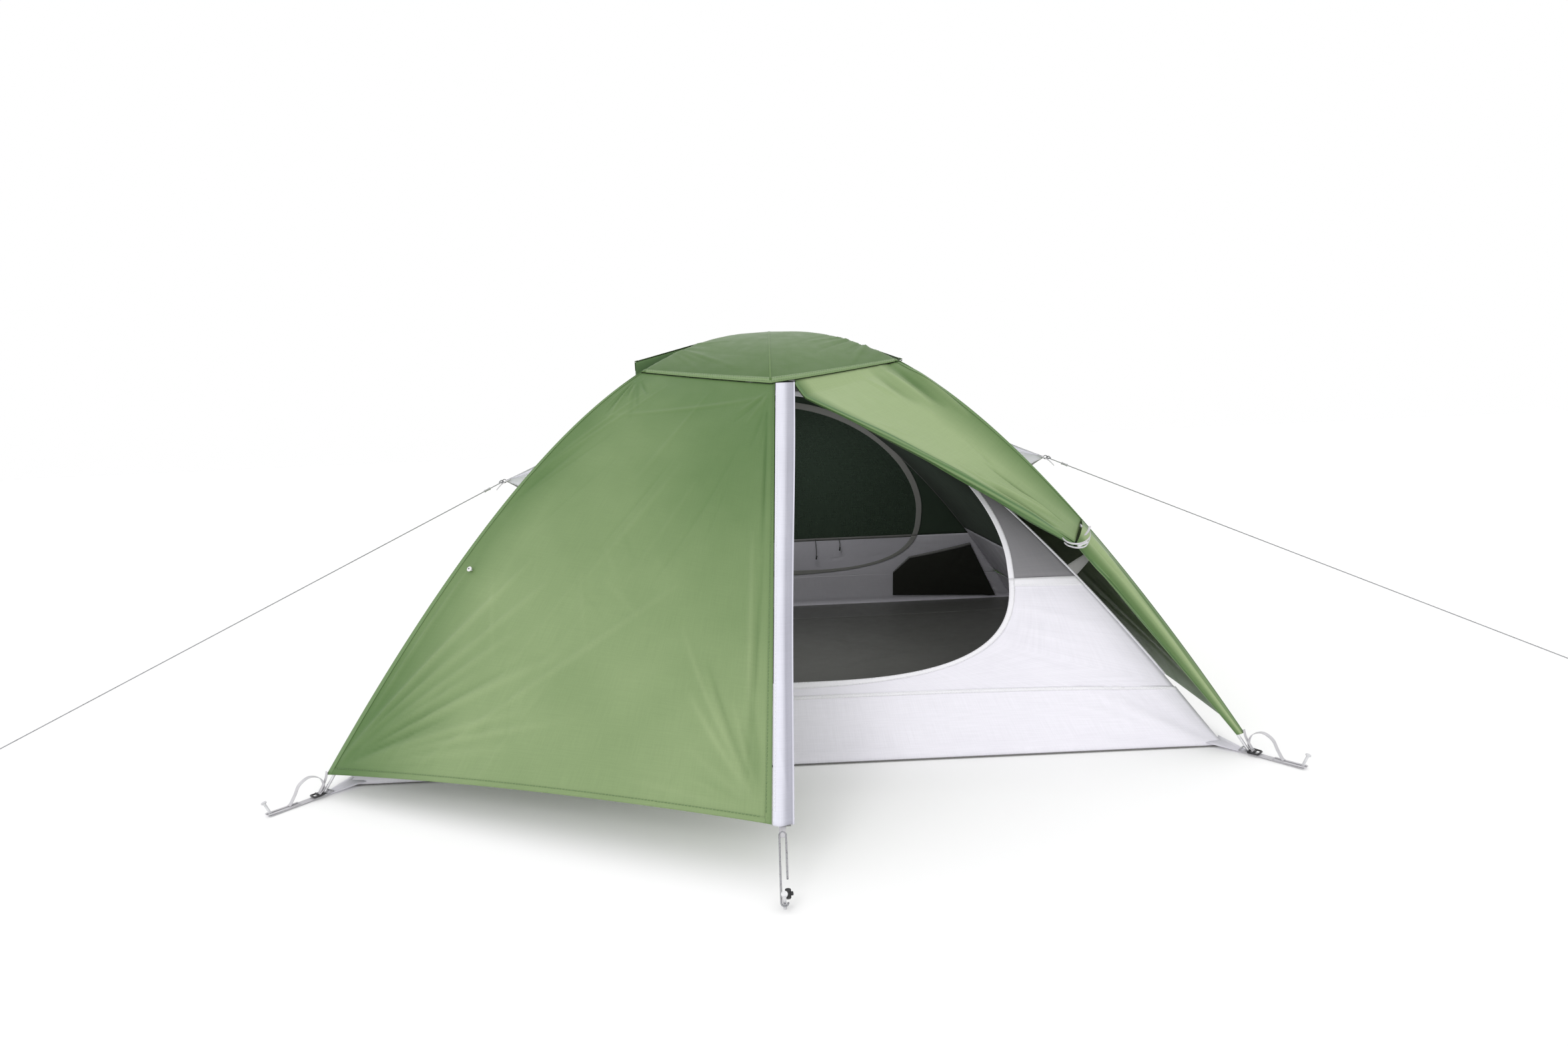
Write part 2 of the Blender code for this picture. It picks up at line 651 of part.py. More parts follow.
def make_inner_slider():
    """Zip slider of the inner door, on the straight run along the door's foot."""
    z = DOOR_BOTTOM - SLIDER_WIDTH / 2 - 0.002
    lean = math.atan(WALL_LEAN)
    outward = Vector((0.0, -math.cos(lean), math.sin(lean)))
    place = Vector((-DOOR_HALF_WIDTH / 2, -wall_y(z), z))
    place += outward * (SLIDER_GAP + (SLIDER_THICKNESS + WALL_THICKNESS) / 2)
    slider = box("inner_zip_slider", (SLIDER_LENGTH, SLIDER_WIDTH, SLIDER_THICKNESS), WHITE)
    slider.matrix_world = Matrix.Translation(place) @ Matrix.Rotation(math.pi / 2 - lean, 4, 'X')


# ---------------------------------------------------------------- corners, stakes, cords
def make_stake(name, place, lean_toward):
    """The part of a peg that stands above the ground, leaning away from the tent."""
    neck = STAKE_HEIGHT - STAKE_HEAD_HEIGHT
    profile = [(0.0, STAKE_HEIGHT), (STAKE_HEAD_RADIUS, STAKE_HEIGHT),
               (STAKE_HEAD_RADIUS, neck), (STAKE_RADIUS, neck), (STAKE_RADIUS, 0.0), (0.0, 0.0)]
    stake = turned(name, profile, SILVER, sides=10, roughness=0.35, metallic=0.9)
    flat = Vector((lean_toward.x, lean_toward.y, 0.0)).normalized()
    axis = flat * math.sin(STAKE_TILT) + Vector((0.0, 0.0, math.cos(STAKE_TILT)))
    lift = STAKE_RADIUS * math.sin(STAKE_TILT) + 0.0002
    aim(stake, place + Vector((0.0, 0.0, lift)), axis)
    return axis


def make_corner(corner, end, door):
    """Webbing from the floor's corner out to a stake, with the pole's tip standing on it."""
    start = Vector((end * FLOOR_LENGTH / 2, door * FLOOR_WIDTH / 2, 0.0))
    foot = Vector((end * FOOT_X, door * FOOT_Y, 0.0))
    run = (foot - start).normalized()
    begin = start + run * (STRAP_WIDTH * 0.5 + 0.002)
    middle = begin + run * STRAP_LENGTH / 2
    strap = box(f"corner_strap_{corner}", (STRAP_LENGTH, STRAP_WIDTH, STRAP_THICKNESS), WHITE)
    strap.location = middle + Vector((0.0, 0.0, STRAP_LIFT + STRAP_THICKNESS / 2))
    strap.rotation_euler = (0.0, 0.0, math.atan2(run.y, run.x))
    at = begin + run * (STRAP_LENGTH - STRAP_WIDTH * 0.5)
    axis = make_stake(f"stake_{corner}", at, run)
    cutter_mesh = bpy.data.meshes.new(f"hole_{corner}")
    model = bmesh.new()
    bmesh.ops.create_cone(model, cap_ends=True, segments=12, depth=0.05,
                          radius1=STAKE_RADIUS + STAKE_HOLE_CLEARANCE,
                          radius2=STAKE_RADIUS + STAKE_HOLE_CLEARANCE)
    model.to_mesh(cutter_mesh)
    model.free()
    cutter = bpy.data.objects.new(f"hole_{corner}", cutter_mesh)
    CUTTERS.objects.link(cutter)
    cutter.hide_render = True
    cutter.display_type = 'WIRE'
    aim(cutter, at, axis)
    cut = strap.modifiers.new("stake hole", 'BOOLEAN')
    cut.operation = 'DIFFERENCE'
    cut.solver = 'EXACT'
    cut.object = cutter


def make_pullout(name, door, x, with_lock):
    """Cord loop from the middle of the hem down to a stake."""
    top = Vector((x, door * (CLOSING_BOTTOM_Y + 0.006), HEM_MIDDLE - 0.012))
    low = Vector((x, door * (CLOSING_BOTTOM_Y + PULLOUT_REACH), 0.010))
    run = (low - top).normalized()
    side = Vector((1.0, 0.0, 0.0))
    half = PULLOUT_HALF_WIDTH
    points = []
    for centre, first in ((low - run * half, 0.0), (top + run * half, math.pi)):
        for step in range(5):
            angle = first + math.pi * step / 4
            points.append(centre + side * half * math.cos(angle) + run * half * math.sin(angle))
    round_line(f"pullout_loop_{name}", points, PULLOUT_RADIUS, WHITE, cyclic=True, resolution=1)
    held_at = low - run * (PULLOUT_RADIUS + STAKE_RADIUS + STAKE_IN_LOOP)
    base_y = held_at.y - door * held_at.z * math.tan(STAKE_TILT)
    make_stake(f"stake_{name}", Vector((x, base_y, 0.0)), Vector((0.0, door, 0.0)))
    if with_lock:
        bore = PULLOUT_RADIUS + CORD_CLEARANCE
        profile = [(bore, LOCK_LENGTH / 2), (LOCK_RADIUS, LOCK_LENGTH / 2),
                   (LOCK_RADIUS, -LOCK_LENGTH / 2), (bore, -LOCK_LENGTH / 2)]
        lock = turned("cord_lock", profile, BLACK, sides=10, roughness=0.5)
        aim(lock, low + side * half - run * (half + LOCK_LENGTH * 0.9), run)


def make_guyline(name, end, stake_at):
    """Taut line from the wing's tip to its stake, with a sliding tensioner on it."""
    tip = Vector((end * (WING_TIP_X + 0.004), 0.0, WING_TIP_Z - 0.001))
    hold = stake_at + Vector((0.0, 0.0, GUY_HOLD))
    run = (hold - tip).normalized()
    stop = hold - run * (STAKE_RADIUS + GUY_RADIUS + 0.0008)
    round_line(f"guyline_{name}", [tip.lerp(stop, share) for share in spread(8)],
               GUY_RADIUS, WHITE, roughness=0.8)
    profile = [(GUY_RADIUS + CORD_CLEARANCE, TENSIONER_LENGTH / 2),
               (TENSIONER_RADIUS, TENSIONER_LENGTH / 2),
               (TENSIONER_RADIUS, -TENSIONER_LENGTH / 2),
               (GUY_RADIUS + CORD_CLEARANCE, -TENSIONER_LENGTH / 2)]
    tensioner = turned(f"guy_tensioner_{name}", profile, WHITE, sides=10, roughness=0.4)
    aim(tensioner, tip.lerp(stop, TENSIONER_AT), run)
    lean = Vector((run.x, run.y, 0.0)).normalized()
    base = stake_at - lean * (GUY_HOLD * math.tan(STAKE_TILT))
    make_stake(f"guy_stake_{name}", base, lean)


def make_toggle():
    """Bar of the tie-back, just in front of the corner of the folded door."""
    bar = [(0.0, TOGGLE_LENGTH / 2), (TOGGLE_RADIUS, TOGGLE_LENGTH / 2),
           (TOGGLE_RADIUS, -TOGGLE_LENGTH / 2), (0.0, -TOGGLE_LENGTH / 2)]
    toggle = turned("tieback_toggle", bar, WHITE, sides=10, roughness=0.4)
    place = TOGGLE_POINT + Vector((0.012, -0.018, -0.002))
    aim(toggle, place, Vector((0.9, 0.1, 0.35)))


def make_button(rows):
    """Round button of the left tie-back, on the closed door beside the pole."""
    corner = rows[5][0]
    across = rows[5][1]
    below = rows[6][0]
    place = corner.lerp(across, 0.36) + (below - corner) * 0.70
    normal = (across - corner).cross(below - corner).normalized()
    if normal.y > 0:
        normal = -normal
    profile = [(0.0, BUTTON_THICKNESS / 2), (BUTTON_RADIUS, BUTTON_THICKNESS / 2),
               (BUTTON_RADIUS, -BUTTON_THICKNESS / 2), (0.0, -BUTTON_THICKNESS / 2)]
    button = turned("tieback_button", profile, WHITE, sides=12)
    aim(button, place + normal * (BUTTON_THICKNESS / 2 + SHEET + 0.0015), normal)


# ---------------------------------------------------------------- build
clear_scene()
PARTS = new_collection("dome_tent")
CUTTERS = new_collection("cutters")

make_main_pole("pole_a", 1, POLE_A_HEIGHT)
make_main_pole("pole_b", -1, POLE_B_HEIGHT)
make_pole_tips()
make_ridge_pole()

make_roof()
make_end_panel("fly_end_left", -1)
make_end_panel("fly_end_right", 1)
front_rows = make_front_left()
make_rear()
make_tied_back_door()
make_storm_flap()
make_door_slider()
make_wing("guy_wing_left", -1)
make_wing("guy_wing_right", 1)
make_vent_hood("vent_hood_left", -1, HOOD_OPEN_TILT)
make_vent_hood("vent_hood_right", 1, HOOD_SHUT_TILT)

make_tub()
make_door_walls()
make_canopy()
make_door_roll()
make_inner_slider()

for corner_name, corner_end, corner_door in (("front_left", -1, -1), ("front_right", 1, -1),
                                             ("rear_left", -1, 1), ("rear_right", 1, 1)):
    make_corner(corner_name, corner_end, corner_door)
make_pullout("front", -1, CLOSING_BOTTOM_X + STORM_FLAP_BOTTOM / 2, True)
make_pullout("rear", 1, 0.0, False)
make_guyline("left", -1, GUY_STAKE_LEFT)
make_guyline("right", 1, GUY_STAKE_RIGHT)
make_toggle()
make_button(front_rows)
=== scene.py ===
"""Looks of the pitched dome tent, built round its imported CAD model. Metres, +Z up."""

import math

import bpy
import numpy as np
from mathutils import Matrix, Vector

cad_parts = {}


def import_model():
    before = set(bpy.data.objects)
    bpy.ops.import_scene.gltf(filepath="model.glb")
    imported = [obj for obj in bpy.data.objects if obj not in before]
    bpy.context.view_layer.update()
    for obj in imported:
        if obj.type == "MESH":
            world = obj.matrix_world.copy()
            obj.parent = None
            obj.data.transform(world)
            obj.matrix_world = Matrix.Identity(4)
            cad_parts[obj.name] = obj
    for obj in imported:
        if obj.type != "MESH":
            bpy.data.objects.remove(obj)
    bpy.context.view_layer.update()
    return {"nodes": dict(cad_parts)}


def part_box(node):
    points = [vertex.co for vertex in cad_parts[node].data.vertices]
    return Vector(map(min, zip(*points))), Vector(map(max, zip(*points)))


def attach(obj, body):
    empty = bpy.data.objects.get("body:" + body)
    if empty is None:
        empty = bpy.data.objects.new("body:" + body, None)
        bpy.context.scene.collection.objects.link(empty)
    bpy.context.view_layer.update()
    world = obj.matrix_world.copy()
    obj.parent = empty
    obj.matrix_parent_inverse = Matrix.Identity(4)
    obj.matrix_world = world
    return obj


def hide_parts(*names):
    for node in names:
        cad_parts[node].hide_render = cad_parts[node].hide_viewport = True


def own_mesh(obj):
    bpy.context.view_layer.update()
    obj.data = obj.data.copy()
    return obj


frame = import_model()
NODES = frame["nodes"]
TENT = "tent"

# ---- sizes of the CAD model ----
FLOOR_X = 1.065              # half of the tub floor along X
FLOOR_Y = 0.865
FLY_HEIGHT = 1.135
INNER_HEIGHT = 0.96
FLY_X = 1.112                # half spans of the fly over its poles
FLY_Y = 0.922
POLE_X = 1.10
POLE_Y = 0.91
POLE_A_HEIGHT = 1.10
POLE_B_HEIGHT = 1.11
ROOF_END = 0.345             # shares of the half span
CORNER_END = 0.978
FLAP_END = 0.72
RIDGE_HALF = 0.50
RIDGE_DROP = 0.195
PEAK = np.array((0.012, -RIDGE_HALF, 0.94))
HEM_FRONT = np.array((-0.030, -1.33, 0.10))
STORM_TOP = 0.052
STORM_BOTTOM = 0.038
TOGGLE = np.array((0.7455, -0.7439, 0.4994))
END_HEM_ARCH = 0.06
WALL_LEAN = 0.48
CANOPY_POWER = 1.7
TUB_HEIGHT = 0.15
DOOR_HALF = 0.604
DOOR_LOW = 0.176
DOOR_MIDDLE = 0.4416
DOOR_HIGH = 0.915
DOOR_ARCH = 1.8              # exponents of the door's upper and lower halves
DOOR_SQUARE = 3.1
WING_TIP = np.array((0.9244, 0.0, 0.681))
HOOD_X = 0.2151
HOOD_LENGTH = 0.212
HOOD_INNER = 0.1505
HOOD_OUTER = 0.2093
HOOD_SHUT = math.radians(23.26)
HOOD_OPEN = math.radians(15.26)
GUY_STAKES = {"left": (-2.19, -0.60), "right": (2.36, -0.45)}
GUY_HOLD = 0.022
CLOTH = 0.0008               # thickness given to every cloth
STEP = 0.0015                # parameter step for normals
# painted shade: folds are painted paler where they stand proud and deeper in their hollows
FOLD_PAINTED_SHADE = 34.0             # paler tone per metre that a fold stands proud

# ================================================================ camera and light
def place_camera():
    yaw, pitch, roll = (math.radians(a) for a in (0.23, -6.76, -2.53))
    forward = Vector((math.sin(yaw) * math.cos(pitch), math.cos(yaw) * math.cos(pitch),
                      math.sin(pitch)))
    level = Vector((math.cos(yaw), -math.sin(yaw), 0.0))
    upright = level.cross(forward)
    right = level * math.cos(roll) + upright * math.sin(roll)
    up = upright * math.cos(roll) - level * math.sin(roll)
    camera = bpy.data.objects.new("camera", bpy.data.cameras.new("camera"))
    camera.data.sensor_width = 36.0
    camera.data.lens = 17.92
    camera.data.clip_start = 0.01
    turn = Matrix((right, up, -forward)).transposed().to_4x4()
    camera.matrix_world = Matrix.Translation((0.011, -2.675, 0.81)) @ turn
    bpy.context.scene.collection.objects.link(camera)
    bpy.context.scene.camera = camera


def add_area(name, place, aim_at, size, power, colour=(1.0, 1.0, 1.0)):
    lamp = bpy.data.lights.new(name, 'AREA')
    lamp.shape = 'DISK'
    lamp.size = size
    lamp.energy = power
    lamp.color = colour
    thing = bpy.data.objects.new(name, lamp)
    thing.location = place
    thing.rotation_euler = (Vector(aim_at) - Vector(place)).to_track_quat('-Z', 'Y').to_euler()
    bpy.context.scene.collection.objects.link(thing)


def light_scene():
    world = bpy.data.worlds.new("studio")
    world.use_nodes = True
    backdrop = world.node_tree.nodes["Background"]
    backdrop.inputs["Color"].default_value = (1.0, 1.0, 1.0, 1.0)
    backdrop.inputs["Strength"].default_value = 1.0
    bpy.context.scene.world = world
    bpy.context.scene.view_settings.view_transform = 'Standard'
    add_area("key", (-2.2, -4.6, 3.2), (0.0, -0.4, 0.4), 2.0, 34.0)
    add_area("top", (0.3, 1.2, 4.6), (0.0, 0.0, 0.6), 3.0, 12.0)
    add_area("inside", (0.10, -0.10, 0.70), (0.15, 0.3, 0.0), 0.30, 2.1)


# ================================================================ materials
class Nodes:
    """A material with its Principled shader and short ways to add nodes."""

    def __init__(self, name):
        self.material = bpy.data.materials.new(name)
        self.material.use_nodes = True
        self.tree = self.material.node_tree
        self.shader = self.tree.nodes["Principled BSDF"]

    def add(self, kind, settings=None, **inputs):
        made = self.tree.nodes.new(kind)
        for key, value in (settings or {}).items():
            setattr(made, key, value)
        for key, value in inputs.items():
            self.feed(made.inputs[key.replace("_", " ")], value)
        return made

    def feed(self, socket, value):
        if isinstance(value, bpy.types.NodeSocket):
            self.tree.links.new(value, socket)
        else:
            socket.default_value = value

    def set(self, **inputs):
        for key, value in inputs.items():
            self.feed(self.shader.inputs[key.replace("_", " ")], value)
        return self

    def math(self, operation, first, second=0.0):
        made = self.tree.nodes.new("ShaderNodeMath")
        made.operation = operation
        self.feed(made.inputs[0], first)
        self.feed(made.inputs[1], second)
        return made.outputs[0]

    def mix(self, share, first, second):
        made = self.tree.nodes.new("ShaderNodeMix")
        made.data_type = 'RGBA'
        self.feed(made.inputs[0], share)
        self.feed(made.inputs[6], first)
        self.feed(made.inputs[7], second)
        return made.outputs[2]

    def ramp(self, value, low, high, out_low=0.0, out_high=1.0):
        made = self.tree.nodes.new("ShaderNodeMapRange")
        for socket, given in zip(made.inputs, (value, low, high, out_low, out_high)):
            self.feed(socket, given)
        return made.outputs[0]

    def noise(self, vector, scale, detail=2.0):
        made = self.add("ShaderNodeTexNoise", Scale=scale, Detail=detail)
        if vector is not None:
            self.feed(made.inputs["Vector"], vector)
        return made.outputs["Fac"]

    def stretched(self, vector, scale):
        return self.add("ShaderNodeMapping", Vector=vector, Scale=scale).outputs[0]

    def bump(self, height, strength, distance):
        made = self.add("ShaderNodeBump", Height=height, Strength=strength,
                        Distance=distance)
        self.feed(self.shader.inputs["Normal"], made.outputs[0])


def rgba(colour):
    return (*colour, 1.0)


def cloth(name, deep, pale, roughness=0.48, sheen=0.25, weave=0.0011, ripstop=0.006,
          alpha=None, specular=0.4):
    """Woven nylon: colour by the panel's tone, which carries painted shade, thread streaks, a weave and
    ripstop lines.
    """
    m = Nodes(name)
    plane = m.add("ShaderNodeTexCoord").outputs["UV"]
    solid = m.add("ShaderNodeTexCoord").outputs["Object"]
    tone = m.add("ShaderNodeAttribute", {"attribute_name": "tone"}).outputs["Fac"]
    clouds = m.noise(solid, 3.2, 3.0)
    tone = m.math('ADD', tone, m.ramp(clouds, 0.3, 0.7, -0.10, 0.10))
    # the tone attribute carries the painted shade laid on each piece; the clouds add random tone
    base = m.mix(m.ramp(tone, 0.0, 1.0), rgba(deep), rgba(pale))
    streaks = m.noise(m.stretched(plane, (14.0, 420.0, 1.0)), 1.0, 3.0)
    threads = m.noise(m.stretched(plane, (420.0, 14.0, 1.0)), 1.0, 3.0)
    lines = m.math('ADD', streaks, threads)
    shade = m.ramp(lines, 0.75, 1.25, 0.965, 1.03)
    grey = m.add("ShaderNodeCombineColor", Red=shade, Green=shade, Blue=shade).outputs[0]
    tinted = m.tree.nodes.new("ShaderNodeMix")
    tinted.data_type = 'RGBA'
    tinted.blend_type = 'MULTIPLY'
    m.feed(tinted.inputs[0], 1.0)
    m.feed(tinted.inputs[6], base)
    m.feed(tinted.inputs[7], grey)
    m.set(Base_Color=tinted.outputs[2])
    m.set(Roughness=m.ramp(m.noise(solid, 24.0, 2.0), 0.3, 0.7, roughness - 0.05,
                           roughness + 0.06))
    parts = m.add("ShaderNodeSeparateXYZ", Vector=plane)
    heights = []
    for axis in ("X", "Y"):
        wave = m.math('SINE', m.math('MULTIPLY', parts.outputs[axis], 2 * math.pi / weave))
        grid = m.math('FRACT', m.math('DIVIDE', parts.outputs[axis], ripstop))
        line = m.math('LESS_THAN', grid, 0.14)
        heights.append(m.math('ADD', m.math('MULTIPLY', wave, 0.35), line))
    total = m.math('ADD', heights[0], heights[1])
    total = m.math('ADD', total, m.math('MULTIPLY', lines, 1.2))
    m.bump(total, 0.18, 0.0003)
    m.set(Sheen_Weight=sheen, Sheen_Roughness=0.45, Specular_IOR_Level=specular)
    if alpha is not None:
        m.set(Alpha=alpha)
    return m.material


def webbing(name, colour, pitch=0.0024):
    m = Nodes(name)
    plane = m.add("ShaderNodeTexCoord").outputs["UV"]
    parts = m.add("ShaderNodeSeparateXYZ", Vector=plane)
    slant = m.math('ADD', parts.outputs["X"], m.math('ABSOLUTE', parts.outputs["Y"]))
    rib = m.math('SINE', m.math('MULTIPLY', slant, 2 * math.pi / pitch))
    dirt = m.noise(m.add("ShaderNodeTexCoord").outputs["Object"], 60.0, 3.0)
    share = m.ramp(m.math('ADD', m.math('MULTIPLY', rib, 0.3), dirt), 0.1, 1.0)
    dark = tuple(c * 0.72 for c in colour)
    m.set(Base_Color=m.mix(share, rgba(dark), rgba(colour)), Roughness=m.ramp(dirt, 0, 1, 0.6, 0.8))
    m.bump(rib, 0.5, 0.0003)
    m.set(Sheen_Weight=0.15)
    return m.material


def braid(name, colour, fleck, pitch=0.004):
    """Braided cord, with flecks of a second colour."""
    m = Nodes(name)
    solid = m.add("ShaderNodeTexCoord").outputs["Object"]
    wave = m.add("ShaderNodeTexWave", {"bands_direction": 'DIAGONAL'}, Vector=solid,
                 Scale=1.0 / pitch / 3.0, Distortion=1.5)
    speck = m.noise(solid, 380.0, 1.0)
    m.set(Base_Color=m.mix(m.ramp(speck, 0.55, 0.7), rgba(colour), rgba(fleck)),
          Roughness=m.ramp(speck, 0.3, 0.7, 0.55, 0.75))
    m.bump(wave.outputs["Fac"], 0.5, 0.0004)
    return m.material


def metal(name, colour, roughness=0.3):
    m = Nodes(name)
    solid = m.add("ShaderNodeTexCoord").outputs["Object"]
    scratch = m.noise(m.stretched(solid, (40.0, 40.0, 900.0)), 1.0, 3.0)
    wear = m.noise(solid, 90.0, 4.0)
    dull = tuple(c * 0.75 for c in colour)
    m.set(Base_Color=m.mix(m.ramp(wear, 0.45, 0.75), rgba(colour), rgba(dull)), Metallic=0.9,
          Roughness=m.ramp(scratch, 0.3, 0.7, roughness - 0.08, roughness + 0.12))
    m.bump(scratch, 0.12, 0.0002)
    return m.material


def plastic(name, colour, roughness=0.42):
    m = Nodes(name)
    solid = m.add("ShaderNodeTexCoord").outputs["Object"]
    grain = m.noise(solid, 700.0, 2.0)
    wear = m.noise(solid, 70.0, 3.0)
    pale = tuple(c * 0.8 + 0.03 for c in colour)
    m.set(Base_Color=m.mix(m.ramp(wear, 0.5, 0.8), rgba(colour), rgba(pale)),
          Roughness=m.ramp(wear, 0.3, 0.7, roughness - 0.06, roughness + 0.08))
    m.bump(grain, 0.2, 0.0002)
    return m.material


def floor_material():
    m = Nodes("studio_floor")
    solid = m.add("ShaderNodeTexCoord").outputs["Object"]
    share = m.noise(solid, 0.8, 2.0)
    m.set(Base_Color=m.mix(share, (0.95, 0.95, 0.95, 1.0), (0.97, 0.97, 0.97, 1.0)), Roughness=0.9)
    m.set(Emission_Color=(1.0, 1.0, 1.0, 1.0), Emission_Strength=0.06)
    return m.material


# ================================================================ shapes
def stack(*parts):
    return np.stack(np.broadcast_arrays(*parts), axis=-1).astype(float)


def drawn_in(share):
    """How much closer to the tent's middle the tensioned fly lies between roof and corner."""
    below = np.clip((share - ROOF_END) / (CORNER_END - ROOF_END), 0, 1)
    return 1 - 0.008 * np.sin(np.pi * below)


def fly_line(share, end, door):
    """Line of the fly over a pole: end is the sign of X and door the sign of Y."""
    reach = share * drawn_in(share)
    return stack(end * FLY_X * reach, door * FLY_Y * reach, FLY_HEIGHT * (1 - share ** 2))


def pole_at(share, end, door):
    height = POLE_A_HEIGHT if end == door else POLE_B_HEIGHT
    return stack(end * POLE_X * share, door * POLE_Y * share, height * (1 - share ** 2))


def roof_height(x, y):
    across = np.abs(x) / FLY_X
    along = np.abs(y) / FLY_Y
    share = np.clip(across / np.maximum(along, 1e-9), 0.0, 1.0)
    ridge = FLY_HEIGHT - RIDGE_DROP * (y / RIDGE_HALF) ** 2
    over_pole = FLY_HEIGHT * (1 - along ** 2)
    tight = FLY_HEIGHT * (1 - across ** 2)
    return np.where(along <= across, tight, ridge * (1 - share) + over_pole * share)


def canopy_half(z):
    return FLOOR_X * (1 - np.clip(z / INNER_HEIGHT, 0.0, 0.9999)) ** (1 / CANOPY_POWER)


def canopy_z(x):
    return INNER_HEIGHT * (1 - np.abs(x / FLOOR_X) ** CANOPY_POWER)


def wall_y(z):
    return FLOOR_Y - WALL_LEAN * z


def between(first, second, share):
    return first + (second - first) * np.asarray(share)[..., None]


def tucked(corner, middle, u, v, door):
    """Shift that lays a fly panel's top edge under the roof's edge and fades down the panel."""
    top = corner + (middle - corner) * u[..., None]
    x = top[..., 0]
    y = door * (RIDGE_HALF - (RIDGE_HALF - FLY_Y * ROOF_END) * np.abs(x) / (FLY_X * ROOF_END))
    shift = stack(0 * x, y - top[..., 1] - door * 0.004, roof_height(x, y) - top[..., 2] - 0.0012)
    return shift * (np.clip(1 - v / 0.22, 0, 1) ** 2)[..., None]


def closing_line(share):
    return between(PEAK, HEM_FRONT, share)


def tub_seam(x):
    """Height of the tub's top seam, which dips towards the corners."""
    return TUB_HEIGHT - 0.022 * np.abs(x / FLOOR_X) ** 3


def raised(surface, folds=None, out=(0.0, -1.0, 0.0), lift=0.0):
    """The surface, moved along its normal by its folds and by lift."""
    out = np.array(out)

    def moved(u, v, more=0.0):
        here = surface(u, v)
        across = surface(u + STEP, v) - surface(u - STEP, v)
        down = surface(u, v + STEP) - surface(u, v - STEP)
        normal = np.cross(across, down)
        normal /= np.linalg.norm(normal, axis=-1, keepdims=True) + 1e-12
        side = np.where((normal * out).sum(-1, keepdims=True) < 0, -1.0, 1.0)
        height = lift + more + (folds(u, v) if folds else 0.0 * u)
        return here + normal * side * height[..., None]
    moved.folds = folds
    return moved


def creases(lines, size, strength=1.0):
    """Height field of narrow folds, each (u0, v0, u1, v1, width, height), on a panel."""
    wide, tall = size

    def field(u, v):
        x = u * wide
        y = v * tall
        total = np.zeros_like(x)
        for u0, v0, u1, v1, width, height in lines:
            ax, ay = u0 * wide, v0 * tall
            dx, dy = u1 * wide - ax, v1 * tall - ay
            length = dx * dx + dy * dy + 1e-12
            along = np.clip(((x - ax) * dx + (y - ay) * dy) / length, 0.0, 1.0)
            away = (x - ax - along * dx) ** 2 + (y - ay - along * dy) ** 2
            total += height * np.exp(-away / width ** 2) * np.sin(np.pi * (0.08 + 0.84 * along))
        return strength * total
    return field


def fan(seed, start, angles, count, lengths, width, height, size):
    """Folds that spread from one point of a panel, as (u, v) lines."""
    rng = np.random.default_rng(seed)
    wide, tall = size
    made = []
    for i in range(count):
        angle = math.radians(angles[0] + (angles[1] - angles[0]) * (i + rng.uniform(0.1, 0.9)) / count)
        near = rng.uniform(0.02, 0.07)
        far = near + rng.uniform(*lengths)
        ends = [(start[0] + r * math.cos(angle) / wide, start[1] + r * math.sin(angle) / tall)
                for r in (near, far)]
        sign = 1 if rng.uniform() < 0.6 else -1
        made.append((*ends[0], *ends[1], width * rng.uniform(0.7, 1.4),
                     sign * height * rng.uniform(0.5, 1.1)))
    return made


def scattered(seed, count, lengths, slope, width, height, size, area=(0.08, 0.92, 0.05, 0.95)):
    """Faint creases left by packing, spread over a panel."""
    rng = np.random.default_rng(seed)
    wide, tall = size
    made = []
    for _ in range(count):
        u = rng.uniform(area[0], area[1])
        v = rng.uniform(area[2], area[3])
        angle = math.radians(rng.uniform(*slope))
        length = rng.uniform(*lengths)
        made.append((u, v, u + length * math.cos(angle) / wide, v + length * math.sin(angle) / tall,
                     width * rng.uniform(0.6, 1.5), height * rng.uniform(-1.0, 1.0)))
    return made


def painted_edge_shade(u, v):
    """Painted shade: pale in the middle of a panel and deep along its edges."""
    near = np.minimum(np.minimum(u, 1 - u) * 3.2, np.minimum(v, 1 - v) * 4.5)
    return np.clip(near, 0.0, 1.0) ** 0.7


# ================================================================ mesh makers
SHEETS = {}


def finish_piece(thing, material, body=TENT, slot=None, replaces=()):
    bpy.context.scene.collection.objects.link(thing)
    thing.data.materials.clear()
    thing.data.materials.append(material)
    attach(thing, body)
    if replaces:
        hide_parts(*replaces)
    return thing


def mesh_piece(name, points, faces, material, uvs=None, tone=None, smooth=True, **rest):
    mesh = bpy.data.meshes.new(name)
    mesh.from_pydata([tuple(p) for p in points], [], faces)
    if uvs is not None:
        layer = mesh.uv_layers.new(name="UVMap")
        corners = np.empty(len(mesh.loops), dtype=np.int32)
        mesh.loops.foreach_get("vertex_index", corners)
        layer.data.foreach_set("uv", np.asarray(uvs, dtype=np.float32)[corners].ravel())
    if tone is not None:
        attribute = mesh.attributes.new("tone", 'FLOAT', 'POINT')
        attribute.data.foreach_set("value", np.asarray(tone, dtype=np.float32).ravel())
    if smooth:
        mesh.shade_smooth()
    return finish_piece(bpy.data.objects.new(name, mesh), material, **rest)


def grid_faces(columns, rows, wrap=False):
    wide = columns if wrap else columns + 1
    faces = []
    for r in range(rows):
        for c in range(columns):
            after = (c + 1) % wide if wrap else c + 1
            faces.append((r * wide + c, r * wide + after, (r + 1) * wide + after,
                          (r + 1) * wide + c))
    return faces


def thicken(thing, thickness=CLOTH, offset=0.0):
    modifier = thing.modifiers.new("thickness", 'SOLIDIFY')
    modifier.thickness = thickness
    modifier.offset = offset
    modifier.use_even_offset = False


